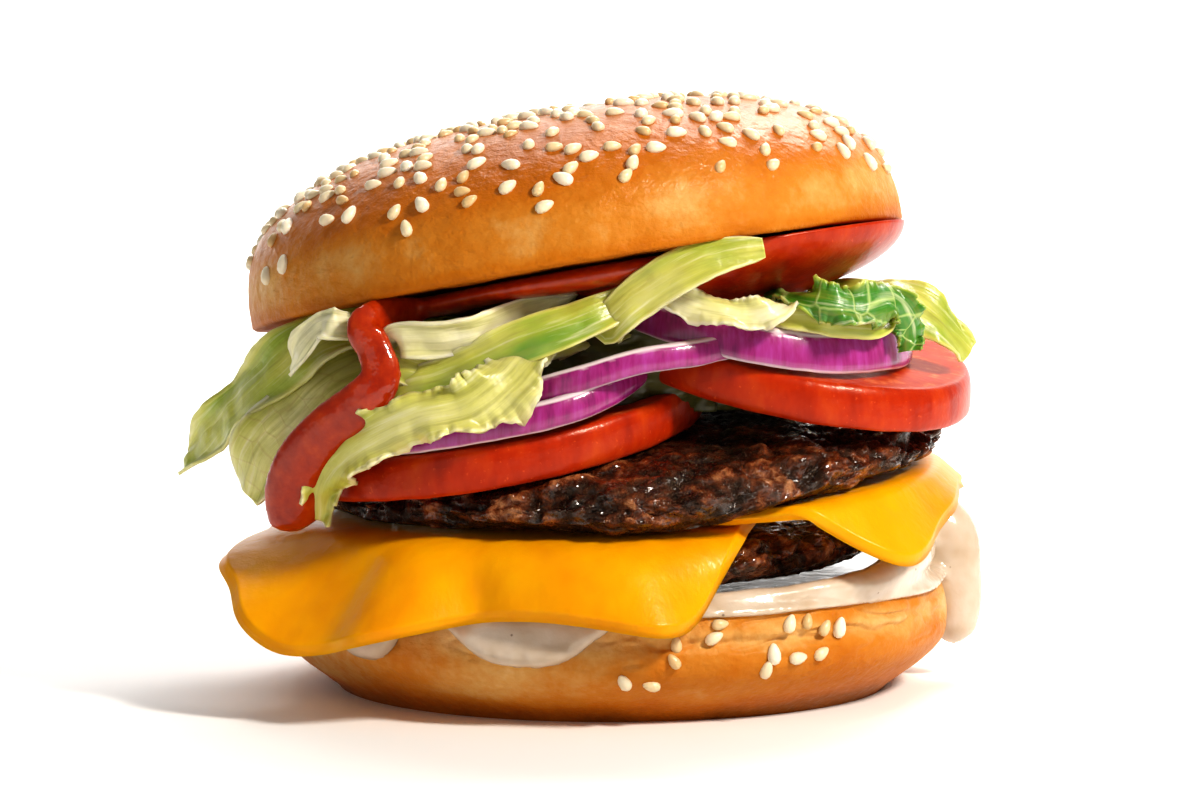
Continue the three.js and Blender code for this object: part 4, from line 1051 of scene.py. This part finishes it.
def onion_rows(points, tall, lean):
    """A piece of onion ring: a curved wall on edge, its skin bulging out and its cut edges flat."""
    turn = np.linspace(0, TAU, 28, endpoint=False)

    def section(s):
        h = (tall[0] + (tall[1] - tall[0]) * s)[:, None]
        u = -np.sign(np.cos(turn)) * np.abs(np.cos(turn)) ** 0.55 * ONION_WALL / 2
        v = -np.sign(np.sin(turn)) * np.abs(np.sin(turn)) ** 0.4 * h / 2
        bow = 0.35 * (1 - (2 * v / h) ** 2) * np.sign(u)
        return np.stack([u + bow + lean * (v / h + 0.5), v], axis=-1)

    rows = bar(points, 160, section)
    share = np.abs(np.sin(turn)) ** 0.4
    top = np.where(np.sin(turn) < 0, share, 0)
    torn = 0.05 * grain(rows, 1.5, 8)
    cut = np.maximum(ease(0.8, 0.97, share), ease(0.72, 0.78, top + torn))
    return rows, cut


class BURGER_OT_onions(bpy.types.Operator):
    """Lay the pieces of red onion ring over the tomatoes"""

    bl_idname = "burger.onions"
    bl_label = "Onions"

    def execute(self, context):
        material = red_onion()
        lots = (
            ("front_onion", ONION_FRONT, (4.6, 4.6), 0.5, "onion_front"),
            ("middle_onion", ONION_MIDDLE, (4.0, 4.2), 0.5, "onion_middle"),
            ("right_onion", ONION_RIGHT, (5.4, 7.2), 1.2, "onion_right"),
        )
        for name, path, tall, lean, node in lots:
            rows, cut = onion_rows(path, tall, lean)
            rows = rows + 0.12 * grain(rows, 3, 4)[..., None]
            put_shell(name, rows, material, "onion", node, cut=cut)
        return {"FINISHED"}


def leaf_sheet(leaf, steps, across, seed, thick):
    """A leaf: a strip along a path, cupped, with ruffles and frills that grow towards its ragged edges, and
    where it has them a rolled edge, a flap and a dark patch. Its uv is its length and width in
    millimetres."""
    s = np.linspace(0, 1, steps)
    v = np.linspace(-1, 1, across)[None, :, None]
    at, ahead = path_at(leaf["points"], s)
    facing = unit(np.array(leaf["face"], float))
    side = unit(np.cross(facing, ahead))
    out = np.cross(ahead, side)
    s = s[:, None, None]
    curly = leaf.get("frill", 0.1)
    ragged = (0.12 * np.sin(31 * s + seed) * np.sin(17 * s + 2 * seed)
              + 0.07 * np.sin(67 * s + 3 * seed + 2 * v))
    half = leaf["width"] / 2 * np.sqrt(np.sin(math.pi * (0.06 + 0.88 * s))) * (1 + curly * ragged * np.abs(v))
    middle, spread, wider = leaf.get("flap", (0.5, 1.0, 0.0))
    half = half * (1 + wider * hump(s, middle, spread) * ease(-0.2, 0.6, v))
    lift = leaf["ruffle"] * v * v * np.sin(TAU * leaf["waves"] * s + 2.2 * v) - 0.5 * v * v
    lift = lift + leaf.get("roll", 0.0) * np.abs(v) ** 5 * (0.7 + 0.3 * np.sin(9 * s + seed))
    frill = 0.5 * leaf["ruffle"] * np.abs(v) ** 3 * np.sin(TAU * 3.1 * leaf["waves"] * s + 1.7 * seed + 3 * v)
    fine = 0.3 * leaf["ruffle"] * np.abs(v) ** 4 * np.sin(TAU * 7.7 * leaf["waves"] * s + seed)
    points = at[:, None] + side[:, None] * half * v + out[:, None] * (lift + curly * (frill + fine))
    points = points + out[:, None] * 0.3 * grain(points, 3.0, seed)[..., None]
    both, faces = thin_sheet(points, thick)
    across_leaf = np.abs(v[..., 0])
    tint = leaf["tint"] + 0.12 * across_leaf - 0.4 * ease(0.8, 1.0, across_leaf) + 0.12 * (s[..., 0] - 0.5)
    tint = tint + leaf.get("dark", 0.0) * hump(v[..., 0], -0.2, 0.5) * hump(s[..., 0], 0.6, 0.3)
    marks = {"tint": np.tile(tint.ravel(), 2), "painted_shade": np.zeros(2 * tint.size),
             "veins": np.full(2 * tint.size, leaf.get("veins", 0.0))}
    length = np.sum(np.linalg.norm(np.diff(at, axis=0), axis=1))
    flat = np.stack(np.broadcast_arrays(length * s[..., 0] + 40 * seed, (half * v)[..., 0]), axis=-1)
    return both, faces, marks, np.tile(flat.reshape(-1, 2), (2, 1))


def back_leaves():
    """Shreds that stick out behind, evenly spread by angle, their size and fall drawn."""
    draw = drawn_numbers(23)
    shreds = []
    for n in range(BACK_SHREDS["count"]):
        angle = BACK_SHREDS["start"] + n / (BACK_SHREDS["count"] - 1) * BACK_SHREDS["turn"]
        high = BACK_SHREDS["high"] + 4 * next(draw)
        drop = BACK_SHREDS["drop"] + 9 * next(draw)
        reach = BACK_SHREDS["reach"] + 7 * next(draw)
        drift = 0.35 * (next(draw) - 0.5)
        rings = ((28, high - 2, 0), (42, high, drift), (reach, high - 0.4 * drop, 1.6 * drift),
                 (reach + 4, high - drop, 2 * drift))
        shreds.append(dict(
            points=[(r * math.cos(angle + turn), r * math.sin(angle + turn), z) for r, z, turn in rings],
            width=7 + 4 * next(draw), face=(0.5 * math.cos(angle), 0.5 * math.sin(angle), 0.86),
            ruffle=1.3, waves=3, tint=0.2 + 0.12 * n))
    return shreds


def heap_core():
    """The heap's body: a lumpy drum from its foot to just under the crown, painted near-black as a painted
    shade between the leaves.
    """
    tall = 60
    angle = ring_angles(260)
    up = column([0, 0, 0], np.linspace(0, 1, tall), [1, 1, 1])
    side = 0.9 + 0.1 * np.sin(np.linspace(0.3, 2.8, tall))
    share = column([0, 0.5, 0.8], side, [0.8, 0.5, 0])
    x, y = beside(HEAP, HEAP["radius"] * share, angle)
    top = plane_height(CROWN, x, y) - HEAP["under"] * KETCHUP["thick"]
    rows = stacked(x, y, HEAP["foot"] + up * (top - HEAP["foot"]))
    push_out(rows, angle, share * (2.0 * lumpy(rows, 7, 3) + 0.8 * lumpy(rows, 3, 4)))
    points, faces = shell(rows)
    # The core is blended most of the way to near-black: a painted shade in the gaps between the leaves.
    values = {"tint": 0.5, "painted_shade": 0.85, "veins": 0.0}
    marks = {key: np.full(len(points), value) for key, value in values.items()}
    return points, faces, marks, points[:, ::2]


class BURGER_OT_lettuce(bpy.types.Operator):
    """Make the heap of lettuce: a core painted near-black as painted shade, the leaves that show in front and
    shreds behind
    """

    bl_idname = "burger.lettuce"
    bl_label = "Lettuce"

    def execute(self, context):
        thick = context.scene.burger_sizes.leaf_thickness
        material = crisp_lettuce()
        front = [leaf_sheet(leaf, 150, 21, n + 1, thick) for n, leaf in enumerate(LEAVES)]
        back = [leaf_sheet(leaf, 90, 19, n + 31, thick) for n, leaf in enumerate(back_leaves())]
        for name, parts in (("front_leaves", front), ("back_leaves", back), ("heap_core", [heap_core()])):
            dress(put_mesh(name, *joined(parts)), material, "lettuce")
        return {"FINISHED"}


# Sauces

def run_rows(points, radii, flat, steps, upwards=(0.0, -1.0, 0.0)):
    """A run of sauce: an ellipse whose size follows its radii along a path, rounded off at both ends."""
    turn = np.linspace(0, TAU, 36, endpoint=False)

    def section(s):
        r = np.interp(s * (len(radii) - 1), np.arange(len(radii)), radii)
        r = r * np.sqrt(np.clip(np.minimum(s, 1 - s) * 12 + 0.03, 0, 1))
        return np.stack([r[:, None] * np.cos(turn), r[:, None] * flat * np.sin(turn)], axis=-1)

    return bar(points, steps, section, upwards)


def put_sauce(name, shells, voxel, material, node):
    """Makes and dresses a sauce: shells that overlap, fused into one skin and smoothed."""
    piece = put_mesh(name, *joined([(*shell(rows), {}) for rows in shells]))
    fuse = piece.modifiers.new("Fuse", "REMESH")
    fuse.mode = "VOXEL"
    fuse.voxel_size = voxel * MM
    fuse.use_smooth_shade = True
    smooth = piece.modifiers.new("Smooth", "SMOOTH")
    smooth.factor = 0.5
    smooth.iterations = 6
    dress(piece, material, node)


def ketchup_layer():
    """The layer under the crown: a lumpy disc, thicker towards the front left."""
    depth = column([1, 1, 1], np.linspace(1, 0, 24), [0, 0, 0])
    side = 0.9 + 0.1 * np.sqrt(np.sin(np.linspace(0.05, 2.9, 24)))
    reach = column([0, 0.4, 0.75], side, [0.8, 0.4, 0])
    angle = ring_angles(300)
    r = reach * KETCHUP["radius"] * (1 + 0.035 * uneven(angle, 2.6))
    x, y = beside(CROWN, r, angle)
    forwards = hump(turn_to(angle, KETCHUP["front"]), 0, KETCHUP["front_spread"])
    lump = 1 + 0.25 * uneven(2 * angle, 1.1) + KETCHUP["front_lump"] * forwards
    return stacked(x, y, plane_height(CROWN, x, y) - 0.42 - depth * KETCHUP["thick"] * lump)


class BURGER_OT_ketchup(bpy.types.Operator):
    """Spread the ketchup under the crown and let it run over the leaves at the front left"""

    bl_idname = "burger.ketchup"
    bl_label = "Ketchup"

    def execute(self, context):
        shells = (ketchup_layer(), run_rows(DRIP, DRIP_RADII, 0.5, 150))
        put_sauce("ketchup_run", shells, 0.55, thick_ketchup(), "ketchup")
        return {"FINISHED"}


def mayonnaise_hem(angle):
    """How low the mayonnaise reaches: a level hem, with a bell that hangs far down for each run."""
    hem = MAYONNAISE["hem"] + 0.25 * uneven(3 * angle, 1)
    for middle, spread, low in MAYONNAISE_RUNS:
        hem = hem - (MAYONNAISE["hem"] - low) * np.exp(-(np.abs(turn_to(angle, middle)) / spread) ** 3)
    return hem


def mayonnaise_rows():
    """The blanket of mayonnaise: over the heel's top, round its rim and down its side to the hem."""
    angle = ring_angles(420)[0]
    hem = mayonnaise_hem(angle)
    run = np.clip((MAYONNAISE["hem"] - hem) / 8, 0, 1)
    over = 0.2 + MAYONNAISE["thick"] * (0.7 + 0.5 * run)
    inside, top, height = HEEL["top"] - 0.4, HEEL["top"], MAYONNAISE["top"] - HEEL["top"]
    rim = heel_radius(top, angle)
    rows = [(0 * angle, inside), (rim - 6, inside)]
    for t in np.linspace(0, 1, 14):
        z = inside + t * (hem - inside)
        rows.append((heel_radius(z, angle) - 0.5, z))
    for t in np.linspace(0, 1, 22):
        z = hem + t * (top - hem)
        bead = np.sqrt(np.clip(t * 7 * np.maximum(run, 0.35), 0, 1)) * (1 + 0.3 * uneven(3 * angle, 2))
        bead = bead * (1 + 0.25 * run * hump(t, 0.25, 0.2))
        rows.append((heel_radius(z, angle) - 0.4 + (over + 0.4) * bead, z))
    for t in np.linspace(0.1, 1, 8):
        turn = t * math.pi / 2
        rows.append((rim + over * math.cos(turn) - 1.2 * t, top + height * math.sin(turn)))
    rows += [(0 * angle + 42, MAYONNAISE["top"]), (0 * angle, MAYONNAISE["top"])]
    return np.stack([polar(r, angle, z) for r, z in rows])


class BURGER_OT_mayonnaise(bpy.types.Operator):
    """Spread the mayonnaise on the heel, with its runs and the dollop at the right"""

    bl_idname = "burger.mayonnaise"
    bl_label = "Mayonnaise"

    def execute(self, context):
        bead = run_rows(BEAD, BEAD_RADII, 0.8, 160, (0.0, 0.0, 1.0))
        bead[1:-1] += 0.7 * grain(bead[1:-1], 6, 14)[..., None]
        shells = (mayonnaise_rows(), run_rows(DOLLOP, DOLLOP_RADII, 0.75, 120), bead)
        put_sauce("mayonnaise_blanket", shells, 0.7, smooth_mayonnaise(), "mayonnaise")
        return {"FINISHED"}


# Stage

def studio_floor():
    """Matt white paper: no gloss, a trace of grain."""
    material, tree, place = new_material("white_paper")[:3]
    tone = ramp(tree, noise(tree, place, 40, 2.0), (0.0, "#F7F6F4"), (1.0, "#FCFCFB"))
    return finish(material, tone, bumps(tree, (noise(tree, place, 1.0), 0.02)), 0.9)


def put_sweep(name, half, height):
    """A floor that curves up into a wall far behind: a level run, a quarter circle and an upright run."""
    bend = np.linspace(0, math.pi / 2, 24)
    radius = 0.5 * half
    y = np.concatenate([[-half], radius * (0.6 + np.sin(bend)), [1.6 * radius]])
    z = height + np.concatenate([[0], radius * (1 - np.cos(bend)), [2.5 * radius]])
    x = np.array([-half, half])[None, :]
    points = stacked(x, y[:, None], z[:, None]).reshape(-1, 3)
    row = np.arange(len(y) - 1)[:, None] * 2
    return put_mesh(name, points, [row + np.array([0, 1, 3, 2])])


def area_light(name, place, target, size, watts, tone):
    """A square soft light that looks at a target, placed in metres."""
    data = bpy.data.lights.new(name, "AREA")
    data.size = size
    data.energy = watts
    data.color = tone
    lamp = put_object(name, data)
    lamp.location = place
    lamp.rotation_euler = (Vector(target) - Vector(place)).to_track_quat("-Z", "Y").to_euler()


class BURGER_OT_stage(bpy.types.Operator):
    """Set the pale floor, the soft lights and the camera at the photograph's angle"""

    bl_idname = "burger.stage"
    bl_label = "Stage"

    def execute(self, context):
        scene = context.scene
        height = CAD_BOX[0][2]
        floor = put_sweep("floor", 2500, height / MM)
        floor.data.materials.append(studio_floor())
        world = bpy.data.worlds.new("studio")
        world.use_nodes = True
        backdrop = world.node_tree.nodes["Background"]
        backdrop.inputs["Color"].default_value = (1, 1, 1, 1)
        backdrop.inputs["Strength"].default_value = 0.2
        scene.world = world
        for light in LIGHTS:
            area_light(*light)
        target = Vector(CAMERA["target"]) * MM
        tilt = math.radians(CAMERA["elevation"])
        away = CAMERA["distance"] * MM
        data = bpy.data.cameras.new("camera")
        data.lens = CAMERA["lens"]
        data.sensor_width = CAMERA["sensor"]
        data.clip_start = 0.05
        camera = put_object("camera", data)
        camera.location = target + Vector((0, -away * math.cos(tilt), away * math.sin(tilt)))
        camera.rotation_euler = (math.pi / 2 - tilt, 0, 0)
        scene.camera = camera
        scene.view_settings.view_transform = "Standard"
        scene.view_settings.look = "Medium High Contrast"
        return {"FINISHED"}


class BURGER_PT_panel(bpy.types.Panel):
    """The burger's panel in the sidebar"""

    bl_idname = "BURGER_PT_panel"
    bl_label = "Double Cheeseburger"
    bl_space_type = "VIEW_3D"
    bl_region_type = "UI"
    bl_category = "Burger"

    def draw(self, context):
        for group in (context.scene.burger_sizes, context.scene.burger_colours):
            for key in group.__annotations__:
                self.layout.prop(group, key)
        for operator in OPERATORS:
            self.layout.operator(operator.bl_idname)


OPERATORS = (
    BURGER_OT_stage, BURGER_OT_heel, BURGER_OT_mayonnaise, BURGER_OT_patties, BURGER_OT_cheese,
    BURGER_OT_tomatoes, BURGER_OT_onions, BURGER_OT_lettuce, BURGER_OT_ketchup, BURGER_OT_crown,
    BURGER_OT_seeds,
)
CLASSES = (BurgerSizes, BurgerColours, *OPERATORS, BURGER_PT_panel)


def register():
    for item in CLASSES:
        bpy.utils.register_class(item)
    bpy.types.Scene.burger_sizes = PointerProperty(type=BurgerSizes)
    bpy.types.Scene.burger_colours = PointerProperty(type=BurgerColours)


def unregister():
    del bpy.types.Scene.burger_colours
    del bpy.types.Scene.burger_sizes
    for item in reversed(CLASSES):
        bpy.utils.unregister_class(item)


def main():
    register()
    for operator in OPERATORS:
        group, name = operator.bl_idname.split(".")
        getattr(getattr(bpy.ops, group), name)()


if __name__ == "__main__":
    main()
